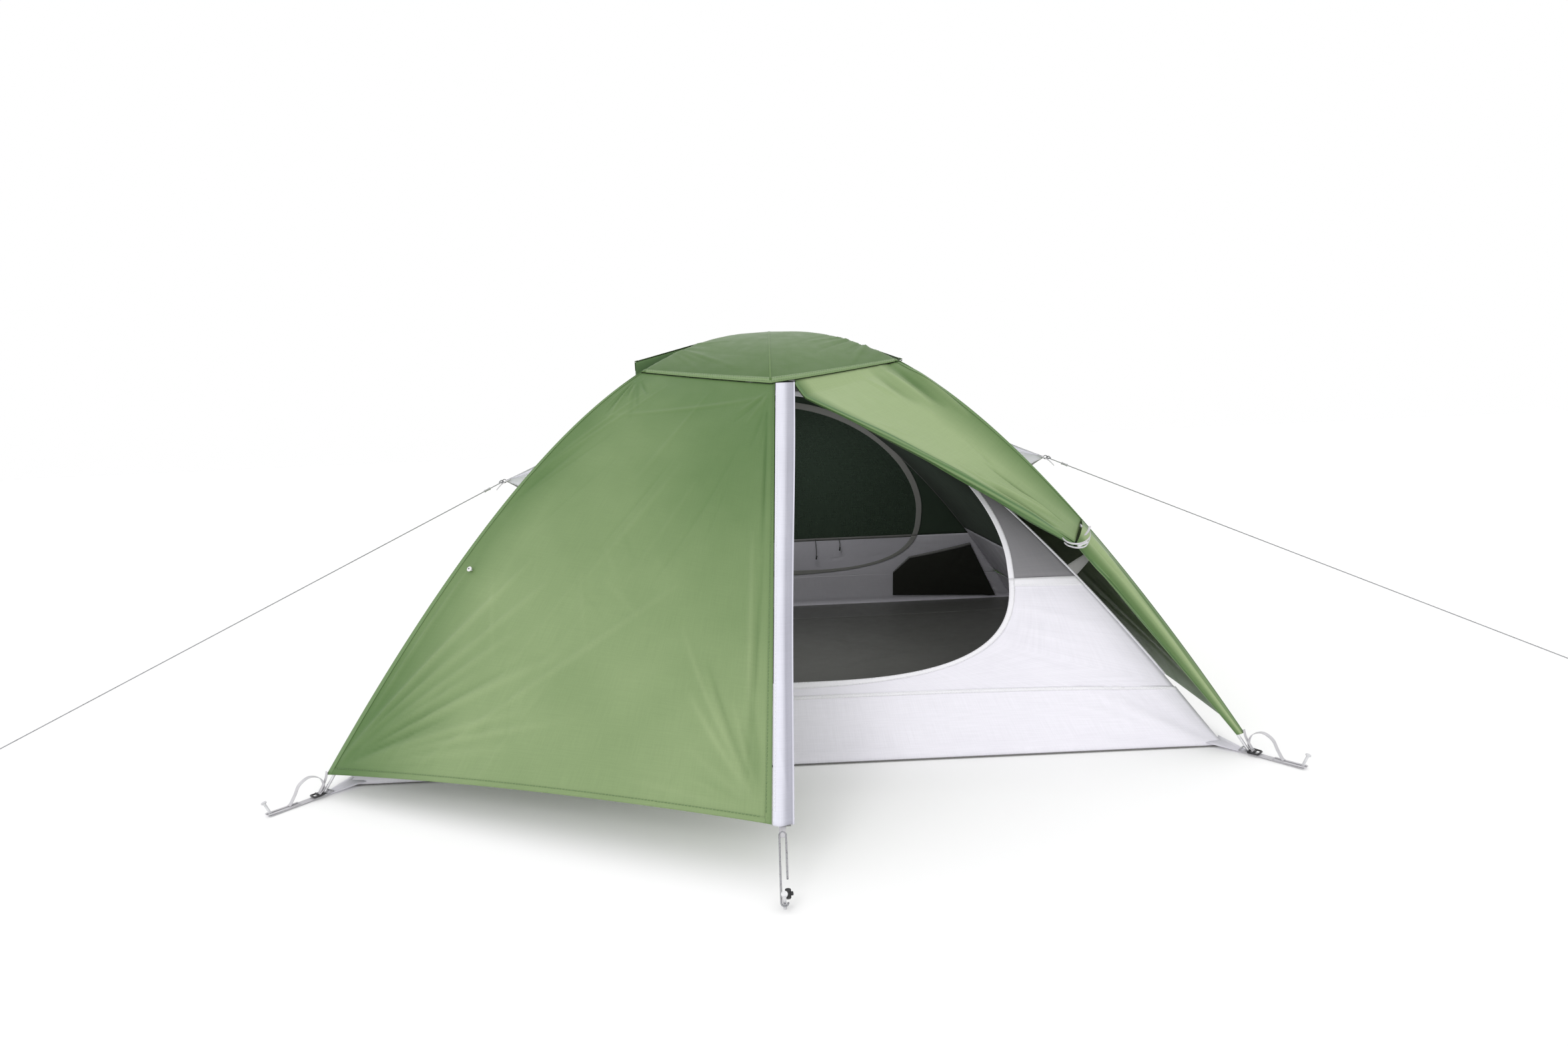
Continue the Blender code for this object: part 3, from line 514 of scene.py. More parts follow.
def sheet(name, surface, cells, material, window=(0.0, 1.0, 0.0, 1.0), more=0.0, tone=painted_edge_shade,
          thickness=CLOTH, held="stretched", rests_on=(), trim_of=None, us=None, vs=None, **rest):
    """A cloth over part of a surface. A trim is sewn to the sheet that it names."""
    u_line = np.linspace(window[0], window[1], cells[0] + 1) if us is None else np.asarray(us)
    v_line = np.linspace(window[2], window[3], cells[1] + 1) if vs is None else np.asarray(vs)
    u, v = np.meshgrid(u_line, v_line)
    points = surface(u, v, more)
    wide = np.linalg.norm(np.diff(points, axis=1), axis=2).sum(axis=1)
    tall = np.linalg.norm(np.diff(points, axis=0), axis=2).sum(axis=0)
    across = (u - u_line[0]) / (u_line[-1] - u_line[0])
    down = (v - v_line[0]) / (v_line[-1] - v_line[0])
    uvs = np.stack([across.ravel() * wide.mean(), down.ravel() * tall.mean()], axis=-1)
    columns, rows = len(u_line) - 1, len(v_line) - 1
    shade = tone(u, v) if callable(tone) else np.full(u.shape, float(tone))
    # painted shade by fold height: proud folds paler, hollows deeper
    if surface.folds:
        shade = shade + FOLD_PAINTED_SHADE * surface.folds(u, v)
    thing = mesh_piece(name, points.reshape(-1, 3), grid_faces(columns, rows), material, uvs,
                       shade, **rest)
    area = sum(face.area for face in thing.data.polygons)
    thicken(thing, thickness)
    if trim_of:
        SHEETS[trim_of][3].append(thing)
    else:
        flat = (max(float(wide.max()), 0.012), max(float(tall.max()), 0.012))
        SHEETS[name] = [thing, flat, (held, rests_on), [], area]
    return thing


def add_trim(owner, thing):
    SHEETS[owner][3].append(thing)
    return thing


HEIGHT_CAP = 3.0               # declared height is at most this times area / width


def declare_sheets():
    """Flat sizes measured on the modelled surfaces, their height capped at HEIGHT_CAP times area over width;
    nothing is declared with them.
    Where the cap acts, as on the guy wings, the door walls, their meshes and the lower rear door, the capped
    height isn't the real one."""
    for thing, (wide, tall), (held, rests_on), trims, area in SHEETS.values():
        tall = min(tall, HEIGHT_CAP * area / wide)


def sew(name, rows, material, pitch=0.0075, length=0.0050, width=0.0012, height=0.0006, **rest):
    """Stitches as small raised dashes along rows of (points, normals)."""
    verts, faces = [], []
    for points, normals in rows:
        gaps = np.linalg.norm(np.diff(points, axis=0), axis=1)
        at = np.concatenate([[0.0], np.cumsum(gaps)])
        count = int((at[-1] - length) / pitch)
        for i in range(count):
            ends = []
            for distance in (i * pitch, i * pitch + length):
                ends.append([np.interp(distance, at, points[:, k]) for k in range(3)])
            normal = np.array([np.interp(i * pitch, at, normals[:, k]) for k in range(3)])
            start, stop = np.array(ends[0]), np.array(ends[1])
            run = stop - start
            side = np.cross(run, normal)
            side *= width / 2 / (np.linalg.norm(side) + 1e-12)
            top = normal / (np.linalg.norm(normal) + 1e-12) * height
            first = len(verts)
            inset = run * 0.18
            verts += [start - side, start + side, stop + side, stop - side,
                      start + inset - side * 0.6 + top, start + inset + side * 0.6 + top,
                      stop - inset + side * 0.6 + top, stop - inset - side * 0.6 + top]
            for quad in ((0, 1, 2, 3), (7, 6, 5, 4), (0, 4, 5, 1), (1, 5, 6, 2), (2, 6, 7, 3),
                         (3, 7, 4, 0)):
                faces.append(tuple(first + k for k in quad))
    return mesh_piece(name, verts, faces, material, **rest)


def seam_row(surface, us, vs, more=0.0008):
    """Points and normals along a path on a surface."""
    us = np.asarray(us, dtype=float)
    vs = np.asarray(vs, dtype=float)
    low = surface(us, vs, more)
    high = surface(us, vs, more + 0.01)
    return low, (high - low) * 100


def tube(name, points, radius, material, sides=12, radii=None, caps=True, flat=1.0, **rest):
    """A round or flattened tube through points."""
    points = np.asarray(points, dtype=float)
    count = len(points)
    tangents = np.gradient(points, axis=0)
    tangents /= np.linalg.norm(tangents, axis=1, keepdims=True) + 1e-12
    side = np.cross(tangents[0], (0.0, 0.0, 1.0))
    if np.linalg.norm(side) < 1e-4:
        side = np.cross(tangents[0], (0.0, 1.0, 0.0))
    side /= np.linalg.norm(side)
    verts, uvs = [], []
    travelled = 0.0
    for i in range(count):
        side = side - tangents[i] * side.dot(tangents[i])
        side /= np.linalg.norm(side) + 1e-12
        other = np.cross(tangents[i], side)
        size = radius * (radii[i] if radii is not None else 1.0)
        if i:
            travelled += np.linalg.norm(points[i] - points[i - 1])
        for k in range(sides):
            angle = 2 * math.pi * k / sides
            verts.append(points[i] + size * (side * math.cos(angle) + other * flat * math.sin(angle)))
            uvs.append((travelled, radius * angle))
    faces = grid_faces(sides, count - 1, wrap=True)
    if caps:
        faces.append(tuple(range(sides))[::-1])
        faces.append(tuple(range((count - 1) * sides, count * sides)))
    return mesh_piece(name, verts, faces, material, uvs, np.full(len(verts), 0.5), **rest)


def smooth_path(points, count=40):
    """A smooth line through a few points."""
    points = [np.array(p, dtype=float) for p in points]
    ends = [2 * points[0] - points[1], *points, 2 * points[-1] - points[-2]]
    made = []
    spans = len(points) - 1
    for i in range(count):
        place = i / (count - 1) * spans
        k = min(int(place), spans - 1)
        t = place - k
        a, b, c, d = ends[k:k + 4]
        made.append(0.5 * ((2 * b) + (c - a) * t + (2 * a - 5 * b + 4 * c - d) * t * t
                           + (3 * b - a - 3 * c + d) * t ** 3))
    return np.array(made)


def strap(name, points, width, thickness, material, across, trim_of=None, **rest):
    """Flat webbing along points: across gives its side direction, one or one for each point."""
    points = np.asarray(points, dtype=float)
    across = np.broadcast_to(np.asarray(across, dtype=float), points.shape)
    across = across / (np.linalg.norm(across, axis=1, keepdims=True) + 1e-12)
    at = np.concatenate([[0.0], np.cumsum(np.linalg.norm(np.diff(points, axis=0), axis=1))])
    shares = (-1.0, -0.92, 0.0, 0.92, 1.0)
    verts = [p + side * width / 2 * s for p, side in zip(points, across) for s in shares]
    uvs = [(d, width / 2 * s) for d in at for s in shares]
    thing = mesh_piece(name, verts, grid_faces(4, len(points) - 1), material, uvs,
                       np.full(len(verts), 0.6), **rest)
    thicken(thing, thickness)
    if trim_of:
        SHEETS[trim_of][3].append(thing)
    return thing


def lathe(name, profile, place, axis, material, sides=20, **rest):
    """A turned piece from (radius, height) points, its axis along a direction."""
    turn = Vector(axis).to_track_quat('Z', 'Y').to_matrix()
    verts, uvs = [], []
    for radius, height in profile:
        for k in range(sides):
            angle = 2 * math.pi * k / sides
            local = Vector((radius * math.cos(angle), radius * math.sin(angle), height))
            verts.append(tuple(Vector(place) + turn @ local))
            uvs.append((radius * angle, height))
    faces = grid_faces(sides, len(profile) - 1, wrap=True)
    faces.append(tuple(range(sides))[::-1])
    faces.append(tuple(range((len(profile) - 1) * sides, len(profile) * sides)))
    return mesh_piece(name, verts, faces, material, uvs, **rest)


def ring(name, place, axis, radius, thickness, material, stretch=1.0, **rest):
    """A closed round or oval ring."""
    turn = Vector(axis).to_track_quat('Z', 'Y').to_matrix()
    verts = []
    around, sides = 28, 10
    for i in range(around):
        a = 2 * math.pi * i / around
        for k in range(sides):
            b = 2 * math.pi * k / sides
            reach = radius + thickness * math.cos(b)
            local = Vector((reach * math.cos(a) * stretch, reach * math.sin(a),
                            thickness * math.sin(b)))
            verts.append(tuple(Vector(place) + turn @ local))
    faces = []
    for i in range(around):
        for k in range(sides):
            j, m = (i + 1) % around, (k + 1) % sides
            faces.append((i * sides + k, j * sides + k, j * sides + m, i * sides + m))
    return mesh_piece(name, verts, faces, material, **rest)


# ================================================================ colours
GREEN = cloth("fly_green", (0.082, 0.165, 0.045), (0.310, 0.405, 0.200), 0.44, 0.08,
              specular=0.3)
# Painted shade: a darker copy of the fly's green for the roof and vent hoods, which lie at a grazing angle to
# the key light.
SHADED_ROOF_GREEN = cloth("fly_roof_green", (0.045, 0.105, 0.020), (0.100, 0.185, 0.050), 0.42, 0.06,
                   specular=0.3)
SEAM_GREEN = cloth("fly_seam_green", (0.075, 0.165, 0.050), (0.190, 0.290, 0.120), 0.46, 0.06)
# Painted shade: a very dark copy of the fly's green for the vent hoods' lips and gussets, which lie under the
# hoods.
SHADED_GUSSET_GREEN = cloth("fly_gusset_green", (0.022, 0.060, 0.018), (0.085, 0.165, 0.055), 0.50, 0.05)
WHITE = cloth("white_nylon", (0.60, 0.59, 0.66), (0.885, 0.868, 0.935), 0.52, 0.05)
# Painted shade: a darker copy of the white nylon for the storm flap.
SHADED_FLAP_WHITE = cloth("white_flap", (0.36, 0.36, 0.42), (0.76, 0.76, 0.85), 0.50, 0.05)
# Painted shade: a darker copy of the white nylon for the guy wings.
SHADED_WING_WHITE = cloth("white_wing", (0.62, 0.61, 0.68), (0.84, 0.83, 0.91), 0.52, 0.05)
TRIM_WHITE = cloth("white_tape", (0.70, 0.69, 0.75), (0.92, 0.91, 0.95), 0.6, 0.05)
TRIM_GREY = cloth("grey_tape", (0.17, 0.17, 0.17), (0.30, 0.30, 0.29), 0.7, 0.1)
ARCH_GREY = cloth("arch_tape", (0.30, 0.30, 0.28), (0.42, 0.42, 0.40), 0.7, 0.1)
FLOOR_GREY = cloth("floor_nylon", (0.12, 0.12, 0.11), (0.22, 0.22, 0.21), 0.5, 0.1)
GREY_MESH = cloth("grey_mesh", (0.22, 0.215, 0.23), (0.30, 0.295, 0.31), 0.7, 0.1, ripstop=0.003,
                  alpha=0.93)
# Partly painted shade: the mesh's own dark colour, tinted green and darkened for the shaded fly seen through
# it.
DARK_MESH = cloth("dark_mesh", (0.040, 0.066, 0.044), (0.065, 0.100, 0.070), 0.75, 0.05,
                  ripstop=0.003, alpha=0.80)
POCKET_MESH = cloth("pocket_mesh", (0.018, 0.019, 0.014), (0.045, 0.048, 0.038), 0.8, 0.05,
                    ripstop=0.003)
WEBBING = webbing("webbing_white", (0.70, 0.69, 0.72))
CORD = braid("cord_white", (0.34, 0.34, 0.36), (0.16, 0.16, 0.17))
DARK_CORD = braid("cord_dark", (0.06, 0.065, 0.06), (0.2, 0.2, 0.2))
THREAD_WHITE = braid("thread_white", (0.93, 0.93, 0.95), (0.75, 0.75, 0.80))
THREAD_GREEN = braid("thread_green", (0.17, 0.27, 0.12), (0.11, 0.20, 0.08))
ALUMINIUM = metal("pole_aluminium", (0.83, 0.83, 0.85), 0.28)
STAKE_METAL = metal("stake_aluminium", (0.74, 0.74, 0.76), 0.34)
BLACK_PLASTIC = plastic("black_plastic", (0.018, 0.018, 0.020))
WHITE_PLASTIC = plastic("white_plastic", (0.78, 0.78, 0.80), 0.35)
CLEAR_GREY = plastic("grey_plastic", (0.42, 0.42, 0.44), 0.35)

place_camera()
light_scene()


# ================================================================ guylines
def make_guyline(name, end):
    exit_at = np.array((end * (WING_TIP[0] + 0.004), 0.0, WING_TIP[2] - 0.001))
    hold = np.array((*GUY_STAKES[name], GUY_HOLD))
    run = (hold - exit_at) / np.linalg.norm(hold - exit_at)
    stop = hold - run * 0.0054
    points = [exit_at + (stop - exit_at) * s for s in np.linspace(0.0, 1.0, 24)]
    data = bpy.data.curves.new(f"line_{name}", 'CURVE')
    data.dimensions = '3D'
    data.bevel_depth = 0.0016
    data.bevel_resolution = 3
    data.use_fill_caps = True
    spline = data.splines.new('POLY')
    spline.points.add(len(points) - 1)
    for point, place in zip(spline.points, points):
        point.co = (*place, 1.0)
    data.materials.append(CORD)
    line = bpy.data.objects.new(f"line_{name}", data)
    bpy.context.scene.collection.objects.link(line)
    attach(line, TENT)
    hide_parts(f"guyline_{name}")
    ring(f"wing_ring_{name}", exit_at + (end * -0.002, 0.0, 0.0), (0.0, 1.0, 0.0), 0.0062, 0.0011,
         BLACK_PLASTIC, body=TENT, slot="black_plastic")
    knot = smooth_path([exit_at + run * 0.003 + np.array(p) for p in
                        ((0.0, 0.003, 0.002), (end * 0.006, 0.0, 0.004), (end * 0.010, -0.003, 0.0),
                         (end * 0.005, 0.0, -0.005), (end * -0.001, 0.003, -0.002),
                         (end * 0.008, 0.002, 0.003), (end * 0.014, -0.002, -0.004))], 60)
    tube(f"wing_knot_{name}", knot, 0.0015, CORD, body=TENT, slot="cord")
    stake_loop = ring(f"stake_loop_{name}", stop + run * 0.0054, (0.0, 0.0, 1.0), 0.0056, 0.0014,
                      CORD, body=TENT, slot="cord")
    place = exit_at + (stop - exit_at) * 0.040
    profile = [(0.0028, -0.0110), (0.0042, -0.0108), (0.0045, -0.0095), (0.0036, -0.0060),
               (0.0034, 0.0060), (0.0045, 0.0095), (0.0042, 0.0108), (0.0028, 0.0110)]
    lathe(f"tensioner_{name}", profile, place, run, CLEAR_GREY, body=f"tensioner_{name}",
          slot="white_plastic", replaces=[f"guy_tensioner_{name}"])


make_guyline("left", -1)
make_guyline("right", 1)


# ================================================================ roof
ROOF_X = FLY_X * ROOF_END


def roof_surface(u, v):
    x = (2 * u - 1) * ROOF_X
    reach = RIDGE_HALF - (RIDGE_HALF - FLY_Y * ROOF_END) * np.clip(np.abs(x) / ROOF_X, 0, 1.2)
    y = (2 * v - 1) * reach
    return stack(x, y, roof_height(x, y) + 0.0006)


ROOF_SIZE = (0.80, 0.85)
ROOF_LINES = fan(3, (0.97, 0.32), (196, 262), 9, (0.10, 0.26), 0.0055, 0.0022, ROOF_SIZE)
ROOF_LINES += fan(4, (0.04, 0.26), (-62, 8), 6, (0.08, 0.20), 0.005, 0.0018, ROOF_SIZE)
ROOF_LINES += fan(5, (0.95, 0.70), (120, 220), 7, (0.08, 0.24), 0.006, 0.002, ROOF_SIZE)
ROOF_LINES += fan(6, (0.05, 0.75), (-60, 60), 7, (0.08, 0.24), 0.006, 0.002, ROOF_SIZE)
ROOF_LINES += scattered(7, 16, (0.08, 0.3), (0, 180), 0.006, 0.0009, ROOF_SIZE)
ROOF = raised(roof_surface, creases(ROOF_LINES, ROOF_SIZE, 1.5), out=(0, 0, 1))


# Painted shade of the roof: deep overall, deeper along its edges and towards the middle of its width.
def roof_painted_shade(u, v):
    return 0.35 + 0.5 * painted_edge_shade(u, v) * (0.6 + 0.4 * np.abs(2 * u - 1))


sheet("roof_panel", ROOF, (110, 110), SHADED_ROOF_GREEN, tone=roof_painted_shade, slot="fly_roof_green",
      replaces=["fly_roof"], rests_on=["ridge_pole"])
for side, (v0, v1) in (("front", (0.0, 0.022)), ("rear", (0.978, 1.0))):
    sheet(f"roof_seam_{side}", ROOF, (110, 3), SEAM_GREEN, window=(0.0, 1.0, v0, v1), more=0.0004,
          tone=1.0, trim_of="roof_panel", slot="fly_roof_green")
for side, (u0, u1) in (("left", (0.0, 0.018)), ("right", (0.982, 1.0))):
    sheet(f"roof_seam_{side}", ROOF, (3, 90), SHADED_ROOF_GREEN, window=(u0, u1, 0.0, 1.0), more=0.0007,
          tone=0.8, trim_of="roof_panel", slot="fly_roof_green")
line = np.linspace(0.01, 0.99, 160)
add_trim("roof_panel", sew("roof_stitches",
                           [seam_row(ROOF, line, 0 * line + v, 0.0020) for v in (0.006, 0.017, 0.983, 0.994)],
                           THREAD_GREEN, slot="fly_roof_green"))
sheet("ridge_seam", ROOF, (3, 110), SHADED_ROOF_GREEN, window=(0.496, 0.504, 0.01, 0.99), more=0.0008,
      tone=0.9, trim_of="roof_panel", slot="fly_roof_green")


# ================================================================ end panels
def end_surface(end):
    def surface(u, v):
        share = ROOF_END + (CORNER_END - ROOF_END) * v
        across = 2 * u - 1
        height = FLY_HEIGHT * (1 - share ** 2)
        arch = END_HEM_ARCH * np.clip(v, 0, 1.1) ** 8 * (1 - across ** 2)
        lifted = np.sqrt(np.clip(1 - (height + arch) / FLY_HEIGHT, 0, 2))
        hollow = 0.010 * np.sin(np.pi * np.clip(v, 0, 1)) * (1 - across ** 2)
        near = drawn_in(share)
        return stack(end * (FLY_X * lifted * near - hollow), FLY_Y * share * near * across,
                     height + arch - hollow)
    return surface


END_SIZE = (1.3, 1.25)
for end, name in ((-1, "left"), (1, "right")):
    lines = fan(11 + end, (0.02, 0.99), (-88, -30), 9, (0.10, 0.40), 0.008, 0.003, END_SIZE)
    lines += fan(14 + end, (0.98, 0.99), (-150, -92), 9, (0.10, 0.40), 0.008, 0.003, END_SIZE)
    lines += fan(17 + end, (0.5, 0.42), (20, 160), 8, (0.08, 0.26), 0.006, 0.0022, END_SIZE)
    lines += scattered(20 + end, 22, (0.1, 0.5), (40, 140), 0.007, 0.0011, END_SIZE)
    panel = raised(end_surface(end), creases(lines, END_SIZE), out=(end, 0, 0.8))
    title = f"end_panel_{name}"
    sheet(title, panel, (120, 120), GREEN, slot="fly_green", replaces=[f"fly_end_{name}"],
          rests_on=["pole_a_section_1", "pole_a_section_3"])
    sheet(f"end_hem_{name}", panel, (120, 3), SEAM_GREEN, window=(0, 1, 0.990, 1.0), more=0.0008,
          tone=0.8, trim_of=title, slot="fly_green")
    line = np.linspace(0.005, 0.995, 200)
    add_trim(title, sew(f"end_stitches_{name}",
                        [seam_row(panel, line, 0 * line + 0.9905, 0.0014)],
                        THREAD_GREEN, slot="fly_green"))
    for side, (u0, u1) in (("front", (0.0, 0.011)), ("rear", (0.989, 1.0))):
        sheet(f"pole_seam_{name}_{side}", panel, (3, 110), SEAM_GREEN, window=(u0, u1, 0, 1),
              more=0.0012, tone=0.55, trim_of=title, slot="fly_green")
    sheet(f"wing_patch_{name}", panel, (10, 40), SEAM_GREEN, window=(0.485, 0.515, 0.16, 0.62),
          more=0.0011, tone=0.8, trim_of=title, slot="fly_green")


# ================================================================ closed half of the front door
def front_surface(u, v):
    share = ROOF_END + (CORNER_END - ROOF_END) * v
    pole = fly_line(share, -1, -1)
    middle = closing_line(v)
    place = pole + (middle - pole) * u[..., None]
    bow = 0.014 * np.clip(v, 0, 1.1) ** 12 * np.sin(np.pi * np.clip(u, 0, 1)) ** 0.8
    sag = -0.012 * np.sin(np.pi * np.clip(u, 0, 1)) * np.sin(np.pi * np.clip(v, 0, 1))
    place[..., 2] += bow
    place[..., 1] -= sag * 0.7
    return place + tucked(fly_line(np.array(ROOF_END), -1, -1), PEAK, u, v, -1)


FRONT_SIZE = (0.95, 1.22)
FRONT_LINES = fan(31, (0.01, 0.995), (-72, -8), 12, (0.14, 0.50), 0.007, 0.0032, FRONT_SIZE)
FRONT_LINES += fan(32, (0.985, 0.985), (-128, -98), 7, (0.10, 0.42), 0.007, 0.0034, FRONT_SIZE)
FRONT_LINES += fan(33, (0.985, 0.985), (-178, -140), 4, (0.08, 0.24), 0.006, 0.0018, FRONT_SIZE)
FRONT_LINES += fan(34, (0.03, 0.02), (28, 84), 8, (0.08, 0.30), 0.006, 0.0022, FRONT_SIZE)
FRONT_LINES += fan(35, (0.97, 0.02), (95, 150), 6, (0.06, 0.22), 0.006, 0.0016, FRONT_SIZE)
FRONT_LINES += [(0.955, 0.10, 0.962, 0.50, 0.006, -0.0030), (0.93, 0.45, 0.955, 0.90, 0.007, 0.0032),
                (0.965, 0.50, 0.95, 0.97, 0.005, -0.0030), (0.10, 0.20, 0.93, 0.05, 0.006, 0.0014),
                (0.22, 0.99, 0.72, 0.60, 0.006, 0.0024), (0.05, 0.62, 0.03, 0.90, 0.005, 0.0026)]
FRONT_LINES += scattered(36, 26, (0.15, 0.60), (98, 128), 0.006, 0.0012, FRONT_SIZE)
FRONT_LINES += scattered(37, 16, (0.10, 0.35), (30, 75), 0.006, 0.0010, FRONT_SIZE,
                         (0.1, 0.6, 0.5, 0.95))
FRONT = raised(front_surface, creases(FRONT_LINES, FRONT_SIZE, 1.5), out=(0, -1, 0.4))


# Painted shade of the front panel: paler towards the hem, deeper along the pole and near the roof, deepest in
# the lower corner at the pole, a little deeper at the closing edge.
def front_painted_shade(u, v):
    low = np.clip(v * 1.15 + 0.25 * (1 - u), 0, 1) ** 1.6
    pole_side = np.clip(u * 6, 0.30, 1) ** 0.8
    corner = np.exp(-((u - 0.04) / 0.22) ** 2 - ((v - 0.95) / 0.15) ** 2)
    return (0.10 + 0.58 * low) * pole_side * np.clip((1 - u) * 22 + 0.6, 0, 1) * (1 - 0.72 * corner)


sheet("front_panel_left", FRONT, (170, 200), GREEN, tone=front_painted_shade, slot="fly_green",
      replaces=["fly_front_left"], rests_on=["pole_a_section_1"])
sheet("front_hem", FRONT, (170, 3), GREEN, window=(0, 1, 0.9905, 1.0), more=0.0009,
      tone=lambda u, v: 0.9 * front_painted_shade(u, v), trim_of="front_panel_left", slot="fly_green")
sheet("front_zip_edge", FRONT, (3, 160), GREEN, window=(0.988, 1.0, 0, 1), more=0.0009,
      tone=lambda u, v: 0.9 * front_painted_shade(u, v), trim_of="front_panel_left", slot="fly_green")
line = np.linspace(0.004, 0.99, 260)
add_trim("front_panel_left", sew("front_hem_stitches",
                                 [seam_row(FRONT, line, 0 * line + 0.991, 0.0015),
                                  seam_row(FRONT, 0 * line + 0.990, line, 0.0015)],
                                 THREAD_GREEN, slot="fly_green"))
sheet("front_pole_seam", FRONT, (3, 160), SEAM_GREEN, window=(0.0, 0.012, 0, 1), more=0.0012,
      tone=0.6, trim_of="front_panel_left", slot="fly_green")


# ================================================================ storm flap and zip
def storm_surface(u, v):
    left = closing_line(v)
    width = STORM_TOP + (STORM_BOTTOM - STORM_TOP) * v
    place = left + stack(u * width + 0.0018, 0 * u, 0 * u)
    fold = 0.0045 * np.sin(np.pi * np.clip(u * 1.15, 0, 1)) + 0.0020 * np.sin(2 * np.pi * u) * v
    sway = 0.0035 * np.sin(2.2 * np.pi * v + 0.4) * u
    place[..., 1] -= 0.0022 + fold + sway * 0.5
    place[..., 0] += sway * 0.5
    return place


STORM_SIZE = (0.045, 1.18)
STORM_LINES = [(0.66, 0.02, 0.60, 0.55, 0.0035, -0.0022), (0.60, 0.45, 0.70, 0.98, 0.0035, -0.0026),
               (0.25, 0.3, 0.3, 0.85, 0.004, 0.0012), (0.2, 0.86, 0.75, 0.97, 0.004, 0.0016)]
STORM = raised(storm_surface, creases(STORM_LINES, STORM_SIZE), out=(0, -1, 0.4))
# painted shade: deep on the half of the strip beyond its fold, pale on the other
sheet("storm_strip", STORM, (16, 150), SHADED_FLAP_WHITE,
      tone=lambda u, v: 0.95 - 0.85 / (1 + np.exp(-(u - 0.52) * 16)),
      slot="white_nylon", replaces=["storm_flap"], held="hung", window=(0, 1, 0.0, 1.0))
sheet("storm_hem", STORM, (3, 150), SHADED_FLAP_WHITE, window=(0.92, 1.0, 0.0, 1.0), more=0.0009, tone=0.7,
      trim_of="storm_strip", slot="white_nylon")
line = np.linspace(0.01, 0.99, 240)
add_trim("storm_strip", sew("storm_stitches", [seam_row(STORM, 0 * line + 0.10, line, 0.0006)],
                            THREAD_WHITE, slot="white_nylon"))


def zip_points(offset, count=140, top=0.075, bottom=1.005):
    share = np.linspace(top, bottom, count)
    return closing_line(share) + stack(STORM_BOTTOM * 0.55 + offset, 0 * share + 0.0035, 0 * share)


strap("door_zip_tape", zip_points(0.004), 0.020, 0.0008, TRIM_GREY, (1, 0, 0), slot="white_nylon",
      trim_of="storm_strip")
teeth = zip_points(0.010)
add_trim("storm_strip", sew("door_zip_teeth", [(teeth + np.array((0, -0.0008, 0)),
                                                np.tile((0.0, -1.0, 0.0), (len(teeth), 1)))],
                            BLACK_PLASTIC, pitch=0.0030, length=0.0018, width=0.0040, height=0.0012,
                            slot="black_plastic"))


# ================================================================ tied-back half of the door
FLAP_TOP = closing_line(0.007) + np.array((STORM_TOP + 0.0036, 0.0, 0.0))


def flap_edge(v):
    edge = between(FLAP_TOP, TOGGLE, v)
    edge[..., 2] += 0.012 * np.sin(np.pi * np.clip(v, 0, 1))
    edge[..., 2] -= 0.026 * np.clip(v / 0.04, 0, 1) * (1 - np.clip(v, 0, 1)) ** 2
    return edge


def flap_surface(u, v):
    share = ROOF_END + (FLAP_END - ROOF_END) * v
    pole = fly_line(share, 1, -1)
    place = pole + (flap_edge(v) - pole) * u[..., None]
    hollow = 0.020 * np.sin(np.pi * np.clip(u, 0, 1)) * np.sin(np.pi * np.clip(v, 0, 1) ** 0.8)
    place[..., 1] += hollow * 0.5
    place[..., 2] -= hollow * 0.8
    return place + tucked(fly_line(np.array(ROOF_END), 1, -1), FLAP_TOP, u, v, -1)


FLAP_SIZE = (0.33, 0.88)
FLAP_LINES = [(0.10, 0.00, 0.16, 0.34, 0.010, -0.0060), (0.20, 0.01, 0.24, 0.30, 0.009, 0.0055),
              (0.30, 0.02, 0.32, 0.26, 0.009, -0.0045), (0.02, 0.10, 0.08, 0.44, 0.009, 0.0060),
              (0.42, 0.01, 0.38, 0.20, 0.008, 0.0030)]
FLAP_LINES += fan(41, (0.90, 0.985), (-104, -84), 5, (0.16, 0.44), 0.007, 0.0050, FLAP_SIZE)
FLAP_LINES += fan(42, (0.60, 0.985), (-100, -76), 4, (0.10, 0.30), 0.008, 0.0040, FLAP_SIZE)
FLAP_LINES += scattered(43, 16, (0.05, 0.25), (60, 120), 0.006, 0.0012, FLAP_SIZE)
FLAP = raised(flap_surface, creases(FLAP_LINES, FLAP_SIZE, 1.35), out=(0.2, -1, 0.6))


# Painted shade of the tied-back flap: deep along the pole and at the rolled lower edge, deeper towards the
# toggle.
def flap_painted_shade(u, v):
    pole_side = np.clip(u * 2.6, 0, 1)
    lower = np.clip((1 - u) * 9, 0, 1)
    return 0.12 + 0.95 * pole_side * lower * np.clip(1.25 - 0.75 * v, 0, 1)


sheet("door_flap", FLAP, (90, 150), GREEN, tone=flap_painted_shade, slot="fly_green",
      replaces=["fly_door_flap"], held="gathered", rests_on=["tieback_toggle"])
sheet("flap_pole_seam", FLAP, (3, 120), SEAM_GREEN, window=(0.0, 0.03, 0, 1), more=0.0012,
      tone=0.5, trim_of="door_flap", slot="fly_green")
share = np.linspace(0.0, 1.0, 90)
roll = flap_edge(share) + stack(0 * share, 0.006 + 0 * share, 0.004 - 0.010 * share)
puff = 1.0 + 0.18 * np.sin(9 * share + 1) * share + 0.10 * np.sin(23 * share)
roll_sizes = (0.42 + 0.60 * np.clip(share * 2.2, 0, 1) - 0.45 * np.clip((share - 0.86) / 0.14, 0, 1)) * puff


